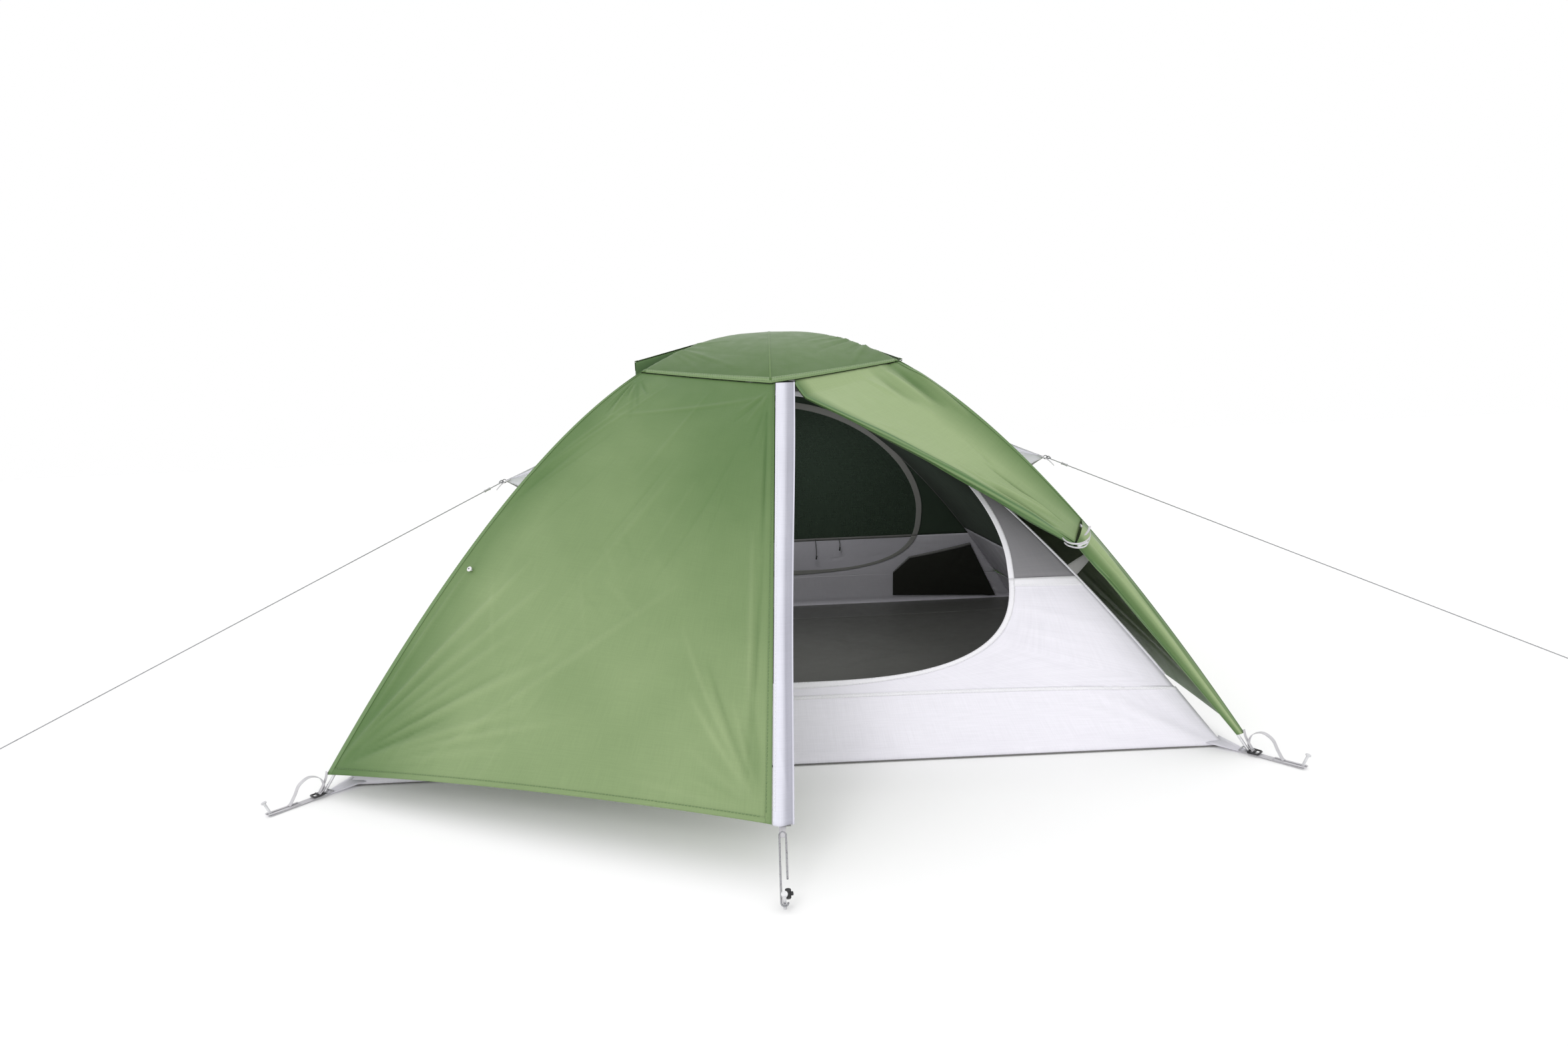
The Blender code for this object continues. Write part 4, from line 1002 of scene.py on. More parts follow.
def folded_tube(name, points, radius, sizes, material, owner, seed, depth=0.10, flat=0.8):
    """Rolled cloth: a tube whose skin has long shallow folds, painted paler on their crests and deeper in
    their hollows.
    """
    thing = tube(name, points, radius, material, sides=28, radii=sizes, flat=flat,
                 slot="fly_green")
    rng = np.random.default_rng(seed)
    phases = rng.uniform(0, 2 * math.pi, 5)
    centre = np.repeat(np.asarray(points), 28, axis=0)
    turn = np.tile(np.arange(28) / 28 * 2 * math.pi, len(points))
    along = np.repeat(np.linspace(0, 1, len(points)), 28)
    wave = sum(np.sin(k * turn + phases[k - 2] + 5.0 * along * (k - 3)) for k in (3, 5, 6))
    places = np.array([v.co for v in thing.data.vertices])
    moved = centre + (places - centre) * (1 + depth * wave / 2)[:, None]
    thing.data.vertices.foreach_set("co", moved.ravel())
    thing.data.update()
    # painted shade: fold crests paler, hollows deeper
    painted_fold_shade = np.clip(0.35 + 0.35 * wave, 0, 1)
    thing.data.attributes["tone"].data.foreach_set("value", painted_fold_shade.astype(np.float32))
    return add_trim(owner, thing)


folded_tube("door_flap_roll", roll, 0.0125, roll_sizes, SEAM_GREEN, "door_flap", 51)

BAND_TOP = TOGGLE + np.array((0.004, 0.002, -0.004))


def band_surface(u, v):
    share = FLAP_END + (CORNER_END - FLAP_END) * v
    pole = fly_line(share, 1, -1)
    width = 0.060 * (1 - 0.70 * v ** 2)
    hang = stack(-width, -0.35 * width, -0.10 * width)
    settled = np.clip(v / 0.30, 0, 1)[..., None]
    tied = BAND_TOP - fly_line(np.array(FLAP_END), 1, -1)
    inner = pole + tied * (1 - settled) + hang * settled
    place = pole + (inner - pole) * u[..., None]
    swell = (0.30 * width + 0.002 * np.sin(5 * v)) * np.sin(np.pi * np.clip(u, 0, 1))
    place[..., 1] -= swell * 0.8
    place[..., 0] += swell * 0.1
    place[..., 2] += swell * 0.35
    return place


BAND_SIZE = (0.07, 0.68)
BAND_LINES = [(0.35, 0.0, 0.55, 0.50, 0.006, 0.0035), (0.62, 0.02, 0.40, 0.60, 0.005, -0.0035),
              (0.25, 0.2, 0.30, 0.75, 0.005, -0.003), (0.55, 0.45, 0.62, 0.98, 0.006, 0.0035),
              (0.40, 0.55, 0.35, 0.99, 0.005, -0.0032), (0.80, 0.3, 0.75, 0.9, 0.005, 0.0025)]
BAND = raised(band_surface, creases(BAND_LINES, BAND_SIZE), out=(0.2, -1, 0.5))


# Painted light and shade on the rolled band: a pale highlight along the middle of its swell, deep at its
# edges.
def band_painted_shade(u, v):
    return np.clip(0.10 + 1.1 * np.exp(-((u - 0.52) / 0.22) ** 2), 0, 1)


sheet("door_band", BAND, (36, 130), GREEN, tone=band_painted_shade, slot="fly_green",
      replaces=["fly_door_band"], held="gathered", rests_on=["tieback_toggle"])
share = np.linspace(0.0, 1.0, 70)
folded_tube("door_band_roll", BAND(0 * share + 1.0, share) + np.array((0.004, 0.007, -0.001)), 0.0085,
            0.6 + 0.4 * np.clip(share * 5, 0, 1) - 0.55 * np.clip((share - 0.5) / 0.5, 0, 1),
            SEAM_GREEN, "door_band", 52)


# ================================================================ tie-backs
toggle_axis = np.array((0.9, 0.1, 0.35))
toggle_axis /= np.linalg.norm(toggle_axis)
toggle_at = TOGGLE + np.array((0.012, -0.018, -0.002))
lathe("toggle_bar", [(0.0012, -0.0135), (0.0030, -0.0130), (0.0040, -0.0110), (0.0036, -0.0030),
                     (0.0026, 0.0), (0.0036, 0.0030), (0.0040, 0.0110), (0.0030, 0.0130),
                     (0.0012, 0.0135)],
      toggle_at, toggle_axis, WHITE_PLASTIC, body="toggle", slot="white_plastic",
      replaces=["tieback_toggle"])
loop_path = smooth_path([TOGGLE + np.array(p) for p in
                         ((-0.030, 0.004, 0.012), (-0.024, -0.016, 0.004), (-0.006, -0.0235, 0.000),
                          (0.014, -0.0245, 0.004), (0.032, -0.014, 0.014), (0.040, 0.004, 0.024))], 40)
strap("tieback_loop", loop_path, 0.0042, 0.0011, WEBBING, (0.1, 0.2, 1.0), slot="webbing",
      trim_of="door_flap")
low_path = smooth_path([TOGGLE + np.array(p) for p in
                        ((0.034, -0.010, 0.010), (0.018, -0.0240, -0.006), (-0.002, -0.0230, -0.010),
                         (-0.020, -0.012, -0.006), (-0.026, 0.003, 0.000))], 40)
strap("tieback_loop_low", low_path, 0.0040, 0.0011, WEBBING, (0.1, 0.2, 1.0), slot="webbing",
      trim_of="door_flap")
tab_path = smooth_path([TOGGLE + np.array(p) for p in
                        ((0.022, -0.008, 0.018), (0.030, -0.010, 0.030), (0.036, -0.004, 0.040))], 16)
strap("tieback_tab", tab_path, 0.0065, 0.0011, WEBBING, (1.0, 0.2, 0.0), slot="webbing",
      trim_of="door_flap")

low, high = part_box("tieback_button")
button_at = (Vector(low) + Vector(high)) / 2
button_out = Vector((-0.30, -0.80, 0.52)).normalized()
lathe("button_shank", [(0.0022, 0.0), (0.0022, -0.0110)], button_at, button_out, WHITE_PLASTIC,
      slot="white_plastic")
lathe("button_left", [(0.0012, 0.0024), (0.0040, 0.0021), (0.0050, 0.0016), (0.0054, 0.0020),
                      (0.0066, 0.0014), (0.0069, 0.0), (0.0060, -0.0012), (0.0020, -0.0016)],
      button_at, button_out, WHITE_PLASTIC, slot="white_plastic", replaces=["tieback_button"])
lathe("button_pin", [(0.0005, 0.0034), (0.0016, 0.0032), (0.0018, 0.0020)], button_at, button_out,
      BLACK_PLASTIC, slot="black_plastic")


# ================================================================ rear of the fly
def rear_middle(v):
    return between(np.array((0.0, RIDGE_HALF, 0.94)), np.array((0.0, 1.33, 0.10)), v)


def rear_surface(u, v):
    share = ROOF_END + (CORNER_END - ROOF_END) * v
    across = 2 * u - 1
    pole = fly_line(share, 1, 1)
    middle = rear_middle(v)
    reach = np.sqrt(across ** 2 + 0.0004)
    place = middle + (pole - middle) * reach[..., None]
    place[..., 0] = pole[..., 0] * across
    half = np.clip(1 - np.abs(across), 0, 1)
    place[..., 1] -= 0.008 * np.sin(np.pi * half) * np.sin(np.pi * np.clip(v, 0, 1))
    place[..., 2] += 0.014 * np.clip(v, 0, 1.1) ** 12 * np.sin(np.pi * half) ** 0.8
    return place


REAR_SIZE = (1.9, 1.22)
REAR_LINES = fan(61, (0.005, 0.995), (-72, -8), 12, (0.14, 0.5), 0.008, 0.0034, REAR_SIZE)
REAR_LINES += fan(62, (0.995, 0.995), (-172, -108), 12, (0.14, 0.5), 0.008, 0.0034, REAR_SIZE)
REAR_LINES += fan(63, (0.50, 0.985), (-150, -30), 12, (0.10, 0.42), 0.007, 0.0032, REAR_SIZE)
REAR_LINES += fan(64, (0.02, 0.02), (28, 80), 8, (0.08, 0.3), 0.007, 0.0024, REAR_SIZE)
REAR_LINES += fan(65, (0.98, 0.02), (100, 152), 8, (0.08, 0.3), 0.007, 0.0024, REAR_SIZE)
REAR_LINES += scattered(66, 44, (0.15, 0.6), (50, 130), 0.007, 0.0013, REAR_SIZE)
REAR = raised(rear_surface, creases(REAR_LINES, REAR_SIZE), out=(0, 1, 0.4))


# Painted shade of the rear panel: the front panel's shade, mirrored from the middle to both poles.
def rear_painted_shade(u, v):
    half = np.abs(2 * u - 1)
    return front_painted_shade(1 - half, v)


sheet("rear_panel", REAR, (240, 170), GREEN, tone=rear_painted_shade, slot="fly_green",
      replaces=["fly_rear"], rests_on=["pole_a_section_3"])
sheet("rear_hem", REAR, (240, 3), GREEN, window=(0, 1, 0.9905, 1.0), more=0.0009, tone=rear_painted_shade,
      trim_of="rear_panel", slot="fly_green")
line = np.linspace(0.004, 0.996, 320)
add_trim("rear_panel", sew("rear_stitches",
                           [seam_row(REAR, line, 0 * line + 0.991, 0.0015)],
                           THREAD_GREEN, slot="fly_green"))
for side, (u0, u1) in (("left", (0.0, 0.006)), ("right", (0.994, 1.0))):
    sheet(f"rear_pole_seam_{side}", REAR, (3, 140), SEAM_GREEN, window=(u0, u1, 0, 1), more=0.0012,
          tone=0.55, trim_of="rear_panel", slot="fly_green")


def rear_storm(u, v):
    place = rear_middle(v) + stack((u - 0.35) * (0.050 - 0.010 * v), 0 * u, 0 * u)
    place[..., 1] += 0.004 + 0.0040 * np.sin(np.pi * np.clip(u, 0, 1)) + 0.001 * np.sin(9 * v)
    return place


REAR_STORM = raised(rear_storm, creases([(0.6, 0.05, 0.62, 0.95, 0.004, -0.002)], (0.045, 1.18)),
                    out=(0, 1, 0.4))
sheet("rear_storm_strip", REAR_STORM, (14, 130), WHITE, tone=0.8, held="hung", slot="white_nylon")
line = np.linspace(0.01, 0.99, 220)
add_trim("rear_storm_strip",
         sew("rear_storm_stitches", [seam_row(REAR_STORM, 0 * line + u, line, 0.0006) for u in (0.1, 0.9)],
             THREAD_WHITE, slot="white_nylon"))


# ================================================================ guy wings
def make_wing(name, end):
    def surface(u, v):
        share = 0.455 + (0.715 - 0.455) * u
        base = stack(end * FLY_X * share * drawn_in(share), 0 * u,
                     FLY_HEIGHT * (1 - share ** 2) + 0.0022)
        tip = WING_TIP * np.array((end, 1, 1))
        place = base + (tip - base) * (0.985 * v)[..., None]
        pull = np.sin(np.pi * np.clip(v, 0, 1)) * (u - 0.5) * 0.030
        place[..., 2] += pull
        place[..., 1] += 0.004 * np.sin(np.pi * np.clip(v, 0, 1)) * np.sin(3 * np.pi * u)
        return place
    size = (0.34, 0.30)
    lines = [(0.3 + 0.1 * k, 0.25, 0.46 + 0.02 * k, 0.95, 0.004, 0.0022 * (-1) ** k) for k in range(5)]
    wing = raised(surface, creases(lines, size), out=(0, -1, 0))
    title = f"wing_{name}"
    # painted shade: the wing uses the darker copy of the white nylon; its tone also deepens towards the tip
    sheet(title, wing, (40, 40), SHADED_WING_WHITE, tone=lambda u, v: 0.95 - 0.5 * v, slot="white_nylon",
          replaces=[f"guy_wing_{name}"])
    sheet(f"wing_edge_top_{name}", wing, (3, 40), TRIM_GREY, window=(0.0, 0.03, 0, 1), more=0.0009,
          tone=0.9, trim_of=title, slot="white_nylon")
    sheet(f"wing_edge_low_{name}", wing, (3, 40), TRIM_GREY, window=(0.955, 1.0, 0, 1), more=0.0009,
          tone=0.6, trim_of=title, slot="white_nylon")
    line = np.linspace(0.02, 0.97, 60)
    add_trim(title, sew(f"wing_stitches_{name}",
                        [seam_row(wing, 0 * line + u, line, 0.0014) for u in (0.035, 0.06, 0.945)],
                        THREAD_WHITE, pitch=0.006, length=0.004, slot="white_nylon"))
    tip = WING_TIP * np.array((end, 1, 1))
    tab = smooth_path([tip + np.array(p) * np.array((end, 1, 1)) for p in
                       ((-0.020, -0.0025, 0.006), (-0.004, -0.004, -0.002), (0.012, -0.005, -0.012),
                        (0.030, -0.005, -0.030))], 20)
    strap(f"wing_tab_{name}", tab, 0.009, 0.0011, WEBBING, (0.3 * end, 0.9, 0.3), slot="webbing",
          trim_of=title)


make_wing("left", -1)
make_wing("right", 1)


# ================================================================ vent hoods
def make_hood(name, end, tilt):
    hinge = np.array((end * HOOD_X, 0.0, FLY_HEIGHT * (1 - (HOOD_X / FLY_X) ** 2) + 0.003))
    cosine, sine = math.cos(tilt), math.sin(tilt)

    def world(x, y, z):
        return hinge + stack(end * (x * cosine + z * sine), y + 0 * x, z * cosine - x * sine)

    def surface(u, v):
        x = HOOD_LENGTH * v
        half = HOOD_INNER + (HOOD_OUTER - HOOD_INNER) * v
        y = half * (2 * u - 1)
        crown = 0.002 + 0.004 * (1 - (2 * u - 1) ** 2) * np.sin(np.pi * np.clip(v, 0, 1) * 0.7)
        return world(x, y, crown)
    size = (0.36, 0.235)
    lines = fan(70 + end, (0.05, 0.05), (20, 75), 5, (0.05, 0.14), 0.004, 0.0012, size)
    lines += fan(72 + end, (0.95, 0.05), (105, 160), 5, (0.05, 0.14), 0.004, 0.0012, size)
    hood = raised(surface, creases(lines, size), out=(0, 0, 1))
    title = f"hood_{name}"
    sheet(title, hood, (60, 40), SHADED_ROOF_GREEN, tone=0.45, slot="fly_roof_green", body=f"vent_{name}",
          replaces=[f"vent_hood_{name}"])
    sheet(f"hood_edge_{name}", hood, (60, 3), SEAM_GREEN, window=(0, 1, 0.955, 1.0), more=0.0010,
          tone=0.5, trim_of=title, slot="fly_roof_green", body=f"vent_{name}")
    line = np.linspace(0.02, 0.98, 90)
    add_trim(title, sew(f"hood_stitches_{name}",
                        [seam_row(hood, line, 0 * line + v, 0.0016) for v in (0.05, 0.962, 0.985)],
                        THREAD_GREEN, slot="fly_roof_green", body=f"vent_{name}"))
    depth = 0.034 if end < 0 else 0.004

    def gusset(side):
        def gusset_surface(u, v):
            half = HOOD_INNER + (HOOD_OUTER - HOOD_INNER) * u
            top = world(HOOD_LENGTH * u, side * (half - 0.002), -0.0010 + 0 * u)
            foot = top.copy()
            foot[..., 2] = np.minimum(roof_height(top[..., 0], top[..., 1]) + 0.0015, top[..., 2] - 0.0004)
            return top + (foot - top) * v[..., None]
        return gusset_surface

    def lip_surface(u, v):
        half = HOOD_OUTER
        y = half * (2 * u - 1)
        droop = depth * v * (1 - 0.25 * (2 * u - 1) ** 2)
        place = world(HOOD_LENGTH + 0 * u, y, 0.0 * u)
        place[..., 2] -= droop
        return place
    # painted shade: the hanging lip gets the dark copy and a deep tone
    lip = sheet(f"hood_lip_{name}", raised(lip_surface, None, out=(end, 0, 0)), (60, 8), SHADED_GUSSET_GREEN,
                tone=0.1, slot="fly_roof_green", body=f"vent_{name}",
                trim_of=None if end < 0 else title)
    if end < 0:
        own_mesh(lip)
        for side, word in ((-1, "front"), (1, "rear")):
            # painted shade: each gusset deepens towards its foot under the hood
            wall = sheet(f"hood_gusset_{word}", raised(gusset(side), None, out=(0, side, 0)), (40, 8),
                         SHADED_GUSSET_GREEN, tone=lambda u, v: 1.0 - 0.9 * v, slot="fly_roof_green",
                         body="vent_left")
            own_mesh(wall)

    def vent_surface(u, v):
        x = end * (0.245 + 0.115 * v)
        y = (0.075 + 0.055 * v) * (2 * u - 1)
        return stack(x, y, roof_height(x, y) + 0.0025)
    sheet(f"vent_mesh_{name}", raised(vent_surface, None, out=(0, 0, 1)), (30, 16), POCKET_MESH,
          tone=0.5, slot="canopy_mesh")


make_hood("left", -1, HOOD_OPEN)
make_hood("right", 1, HOOD_SHUT)


# ================================================================ tub floor
def tub_side(door):
    def surface(u, v):
        across = 2 * u - 1
        height = tub_seam(0.967 * across) * (1 - v)
        half_x = FLOOR_X - (FLOOR_X - 0.9637) * height / TUB_HEIGHT
        bulge = 0.004 * np.sin(np.pi * np.clip(v, 0, 1)) * (1 - across ** 2)
        low = np.clip((v - 0.90) / 0.10, 0, 1.2)
        tuck = 0.008 * (1 - np.sqrt(np.clip(1 - low ** 2, 0, 1)))
        return stack(half_x * across, door * (wall_y(height) + bulge - tuck), height + 0.001)
    return surface


def tub_end(end):
    def surface(u, v):
        across = 2 * u - 1
        height = (tub_seam(FLOOR_X) + 0.022 * (1 - across ** 4)) * (1 - v)
        half_x = FLOOR_X - (FLOOR_X - 0.9637) * height / TUB_HEIGHT
        bulge = 0.004 * np.sin(np.pi * np.clip(v, 0, 1)) * (1 - across ** 2)
        return stack(end * (half_x + bulge), wall_y(height) * across, height + 0.001)
    return surface


SIDE_SIZE = (2.1, 0.165)
for door, name in ((-1, "front"), (1, "rear")):
    lines = fan(81 + door, (0.995, 0.97), (-176, -120), 8, (0.12, 0.42), 0.010, 0.0034, SIDE_SIZE)
    lines += fan(84 + door, (0.005, 0.97), (-60, -4), 8, (0.12, 0.42), 0.010, 0.0034, SIDE_SIZE)
    lines += [(0.05, 0.86, 0.95, 0.88, 0.010, 0.0022)]
    lines += scattered(87 + door, 10, (0.05, 0.25), (-30, 30), 0.008, 0.0010, SIDE_SIZE)
    wall = raised(tub_side(door), creases(lines, SIDE_SIZE), out=(0, door, 0.3))
    title = f"tub_{name}"
    sheet(title, wall, (200, 30), WHITE, tone=lambda u, v: 0.85 + 0.15 * (1 - v), slot="white_nylon",
          replaces=["tub_floor"] if door < 0 else [])
    sheet(f"tub_seam_{name}", wall, (200, 3), TRIM_WHITE, window=(0, 1, 0.0, 0.055), more=0.0012,
          tone=0.9, trim_of=title, slot="white_nylon")
    line = np.linspace(0.003, 0.997, 300)
    add_trim(title, sew(f"tub_stitches_{name}",
                        [seam_row(wall, line, 0 * line + v, 0.0018) for v in (0.018, 0.045)],
                        THREAD_WHITE, slot="white_nylon"))
END_WALL = (1.7, 0.165)
for end, name in ((-1, "left"), (1, "right")):
    lines = scattered(90 + end, 14, (0.05, 0.3), (-40, 40), 0.009, 0.002, END_WALL)
    wall = raised(tub_end(end), creases(lines, END_WALL), out=(end, 0, 0.3))
    sheet(f"tub_{name}", wall, (150, 20), WHITE, tone=0.85, slot="white_nylon")


def ground_surface(u, v):
    x = (2 * u - 1) * (FLOOR_X - 0.002)
    y = (2 * v - 1) * (FLOOR_Y - 0.002)
    ripple = 0.0016 * (np.sin(7 * x + 2 * np.sin(3 * y)) + np.sin(9 * y + 3 * np.sin(2 * x)))
    edge = np.clip((1 - np.abs(2 * u - 1)) * 12, 0, 1) * np.clip((1 - np.abs(2 * v - 1)) * 12, 0, 1)
    return stack(x, y, 0.0022 + (0.0032 + ripple) * edge)


GROUND_SIZE = (2.13, 1.73)
GROUND = raised(ground_surface, creases(scattered(93, 30, (0.15, 0.7), (0, 180), 0.011, 0.0022,
                                                  GROUND_SIZE), GROUND_SIZE), out=(0, 0, 1))
sheet("ground_sheet", GROUND, (160, 130), FLOOR_GREY, tone=0.45, held="laid", slot="floor_nylon")
sheet("ground_seam", GROUND, (160, 3), FLOOR_GREY, window=(0, 1, 0.84, 0.85), more=0.0012, tone=0.9,
      trim_of="ground_sheet", slot="floor_nylon")


# ================================================================ door walls
def in_door(x, z):
    upper = np.abs(x / DOOR_HALF) ** DOOR_ARCH \
        + (np.maximum(z - DOOR_MIDDLE, 0) / (DOOR_HIGH - DOOR_MIDDLE)) ** DOOR_ARCH
    lower = np.abs(x / DOOR_HALF) ** DOOR_SQUARE \
        + (np.maximum(DOOR_MIDDLE - z, 0) / (DOOR_MIDDLE - DOOR_LOW)) ** DOOR_SQUARE
    return np.where(z >= DOOR_MIDDLE, upper, lower) < 1


def in_wall(x, z):
    return (z > tub_seam(x)) & (z < INNER_HEIGHT * 0.985) & (np.abs(x) < canopy_half(z) - 0.003)


def reach_of(inside, angle, centre):
    low = np.zeros_like(angle)
    high = np.full_like(angle, 1.6)
    for _ in range(34):
        half = (low + high) / 2
        within = inside(half * np.cos(angle), centre + half * np.sin(angle))
        low = np.where(within, half, low)
        high = np.where(within, high, half)
    return low


def wall_surface(door, centre, first, last):
    """Between the door's outline (v 0) and the wall's edge (v 1), for angles first to last."""
    def surface(u, v):
        angle = np.radians(first + (last - first) * u)
        inner = reach_of(in_door, angle, centre)
        outer = reach_of(in_wall, angle, centre)
        reach = inner + (outer - inner) * v
        x = reach * np.cos(angle)
        z = centre + reach * np.sin(angle)
        return stack(x, door * (wall_y(z) + 0.0004), z)
    return surface


def tape_surface(door, centre, first, last):
    """The same outline, with v in metres from the door's edge."""
    def surface(u, v):
        angle = np.radians(first + (last - first) * u)
        reach = reach_of(in_door, angle, centre) + v
        z = centre + reach * np.sin(angle)
        return stack(reach * np.cos(angle), door * (wall_y(z) + 0.0004), z)
    return surface


def corner_angle(centre):
    z = TUB_HEIGHT - 0.022 * (0.96 / FLOOR_X) ** 3
    for _ in range(8):
        x = canopy_half(z) - 0.003
        z = float(tub_seam(x))
    return math.degrees(math.atan2(z - centre, float(x)))


def angles_through(first, last, stops, count):
    marks = [first, *sorted(stops), last] if first < last else [first, *sorted(stops)[::-1], last]
    made = []
    for a, b in zip(marks, marks[1:]):
        steps = max(int(abs(b - a) / abs(last - first) * count), 4)
        made += [a + (b - a) * i / steps for i in range(steps)]
    return [(a - first) / (last - first) for a in [*made, last]]


FRONT_SPLIT = 0.40
REAR_SPLIT = 0.33
for door, name, split in ((-1, "front", FRONT_SPLIT), (1, "rear", REAR_SPLIT)):
    corner = corner_angle(split)
    stops = [corner, -180 - corner]
    us = angles_through(-180.0, 0.0, stops, 220)
    right = (corner + 180) / 180
    size = (2.6, 0.34)
    lines = [(0.965, 0.02, 0.95, 0.85, 0.008, 0.0030), (0.985, 0.02, 0.985, 0.7, 0.006, -0.0026),
             (0.945, 0.02, 0.925, 0.6, 0.007, 0.0026), (0.90, 0.03, 0.87, 0.5, 0.006, -0.0016),
             (0.055, 0.02, 0.065, 0.8, 0.008, 0.003), (0.02, 0.02, 0.02, 0.6, 0.006, -0.003)]
    lines += [(0.5 + 0.45 * k / 26, 0.0, 0.5 + 0.45 * k / 26 + 0.004, 0.22, 0.0035, 0.0010 * (-1) ** k)
              for k in range(26)]
    wall = raised(wall_surface(door, split, -180.0, 0.0), creases(lines, size), out=(0, door, 0.4))
    title = f"door_wall_{name}"
    sheet(title, wall, (1, 1), WHITE, us=us, vs=np.linspace(0, 1, 26),
          tone=lambda u, v: 0.9 + 0 * u, slot="white_nylon", replaces=[f"inner_{name}_wall"])
    lip = np.linspace(0.0, 1.0, 240)
    tape = raised(tape_surface(door, split, -180.0, 0.0), None, out=(0, -1, 0.3))
    edge_rows = [-0.0055, -0.003, 0.005, 0.0095] if door < 0 else [-0.012, -0.009, 0.009, 0.012]
    proud = 0.0014 if door < 0 else 0.0045
    sheet(f"door_tape_low_{name}", tape, (1, 1), TRIM_WHITE if door < 0 else ARCH_GREY, us=lip,
          vs=edge_rows, more=proud, tone=0.9, trim_of=title,
          slot="white_nylon")
    upper = raised(wall_surface(door, split, 0.0, 180.0), None, out=(0, door, 0.4))
    mesh_title = f"door_wall_mesh_{name}"
    sheet(mesh_title, upper, (160, 14), GREY_MESH if door < 0 else DARK_MESH, tone=0.6,
          slot="canopy_mesh")
    high_tape = raised(tape_surface(door, split, 0.0, 180.0), None, out=(0, -1, 0.3))
    sheet(f"door_tape_high_{name}", high_tape, (1, 1), TRIM_WHITE if door < 0 else ARCH_GREY,
          us=np.linspace(0, 1, 200), vs=edge_rows, more=proud,
          tone=0.9 if door < 0 else 0.8, trim_of=mesh_title, slot="white_nylon")
    tape_rows = [seam_row(tape, lip, 0 * lip + v, 0.0021) for v in (-0.0035, 0.0075)]
    add_trim(title, sew(f"door_tape_stitches_{name}", tape_rows, THREAD_WHITE, pitch=0.008,
                        length=0.0052, slot="white_nylon"))
    for side, (first, last) in (("right", (0.99, 1.0)), ("left", (0.0, 0.01))):
        sheet(f"split_tape_{name}_{side}", wall, (3, 24), TRIM_WHITE, window=(first, last, 0, 1),
              more=0.0012, tone=0.95, trim_of=title, slot="white_nylon")
    line = np.linspace(0.03, 0.99, 60)
    add_trim(title, sew(f"split_stitches_{name}", [seam_row(wall, 0 * line + 0.992, line, 0.0019),
                                                   seam_row(wall, 0 * line + 0.008, line, 0.0019)],
                        THREAD_WHITE, slot="white_nylon"))


# ================================================================ canopy and rear door
def canopy_end(end):
    def surface(u, v):
        z = 0.355 - (0.355 - 0.150) * v
        across = 2 * u - 1
        slack = 0.006 * np.sin(np.pi * np.clip(v, 0, 1)) * np.sin(5 * np.pi * u)
        return stack(end * (canopy_half(z) - 0.004 + slack * 0.4), (wall_y(z) - 0.002) * across, z)
    return surface


def canopy_top(u, v):
    x = (2 * u - 1) * canopy_half(np.array(0.355))
    z = canopy_z(x)
    return stack(x * 0.998, (wall_y(z) - 0.002) * (2 * v - 1), z)


for end, name in ((-1, "left"), (1, "right")):
    size = (1.5, 0.25)
    lines = [(0.06 + 0.09 * k, 0.02, 0.10 + 0.085 * k, 0.98, 0.012, 0.006 * (-1) ** k)
             for k in range(11)]
    wall = raised(canopy_end(end), creases(lines, size), out=(end, 0, 0.4))
    # painted shade: the white inner end walls and their tape get deep tones for the shade inside the tent
    sheet(f"canopy_{name}", wall, (120, 16), WHITE, tone=0.35, slot="white_nylon")
    sheet(f"canopy_tape_{name}", wall, (120, 2), TRIM_WHITE, window=(0, 1, 0.0, 0.05), more=0.0012,
          tone=0.4, trim_of=f"canopy_{name}", slot="white_nylon")
sheet("canopy_mesh", raised(canopy_top, None, out=(0, 0, 1)), (110, 40), DARK_MESH, tone=0.5,
      slot="canopy_mesh", replaces=["inner_canopy"])
for door, name in ((-1, "front"), (1, "rear")):
    x = np.linspace(-0.955, 0.955, 90)
    z = canopy_z(x)
    tube(f"canopy_binding_{name}", stack(x, door * (wall_y(z) - 0.001), z), 0.0034,
         TRIM_WHITE if door < 0 else TRIM_GREY, sides=8, slot="white_nylon")


def door_half_width(z):
    rise = np.clip((z - DOOR_MIDDLE) / (DOOR_HIGH - DOOR_MIDDLE), 0, 1)
    upper = DOOR_HALF * (1 - rise ** DOOR_ARCH) ** (1 / DOOR_ARCH)
    share = np.clip((DOOR_MIDDLE - z) / (DOOR_MIDDLE - DOOR_LOW), 0, 1)
    lower = DOOR_HALF * np.clip(1 - share ** DOOR_SQUARE, 0, 1) ** (1 / DOOR_SQUARE)
    return np.where(z >= DOOR_MIDDLE, upper, lower)


def rear_door(top, bottom):
    def surface(u, v):
        z = np.clip(top + (bottom - top) * v, DOOR_LOW + 0.0004, DOOR_HIGH - 0.0008)
        x = (2 * u - 1) * np.maximum(door_half_width(z), 0.004)
        slack = 0.004 * np.sin(6 * x + 3 * z)
        return stack(x, wall_y(z) + slack * 0.4, z)
    return surface


DOOR_SIZE = (1.2, 0.16)
lines = scattered(95, 16, (0.1, 0.4), (-20, 20), 0.01, 0.002, DOOR_SIZE)
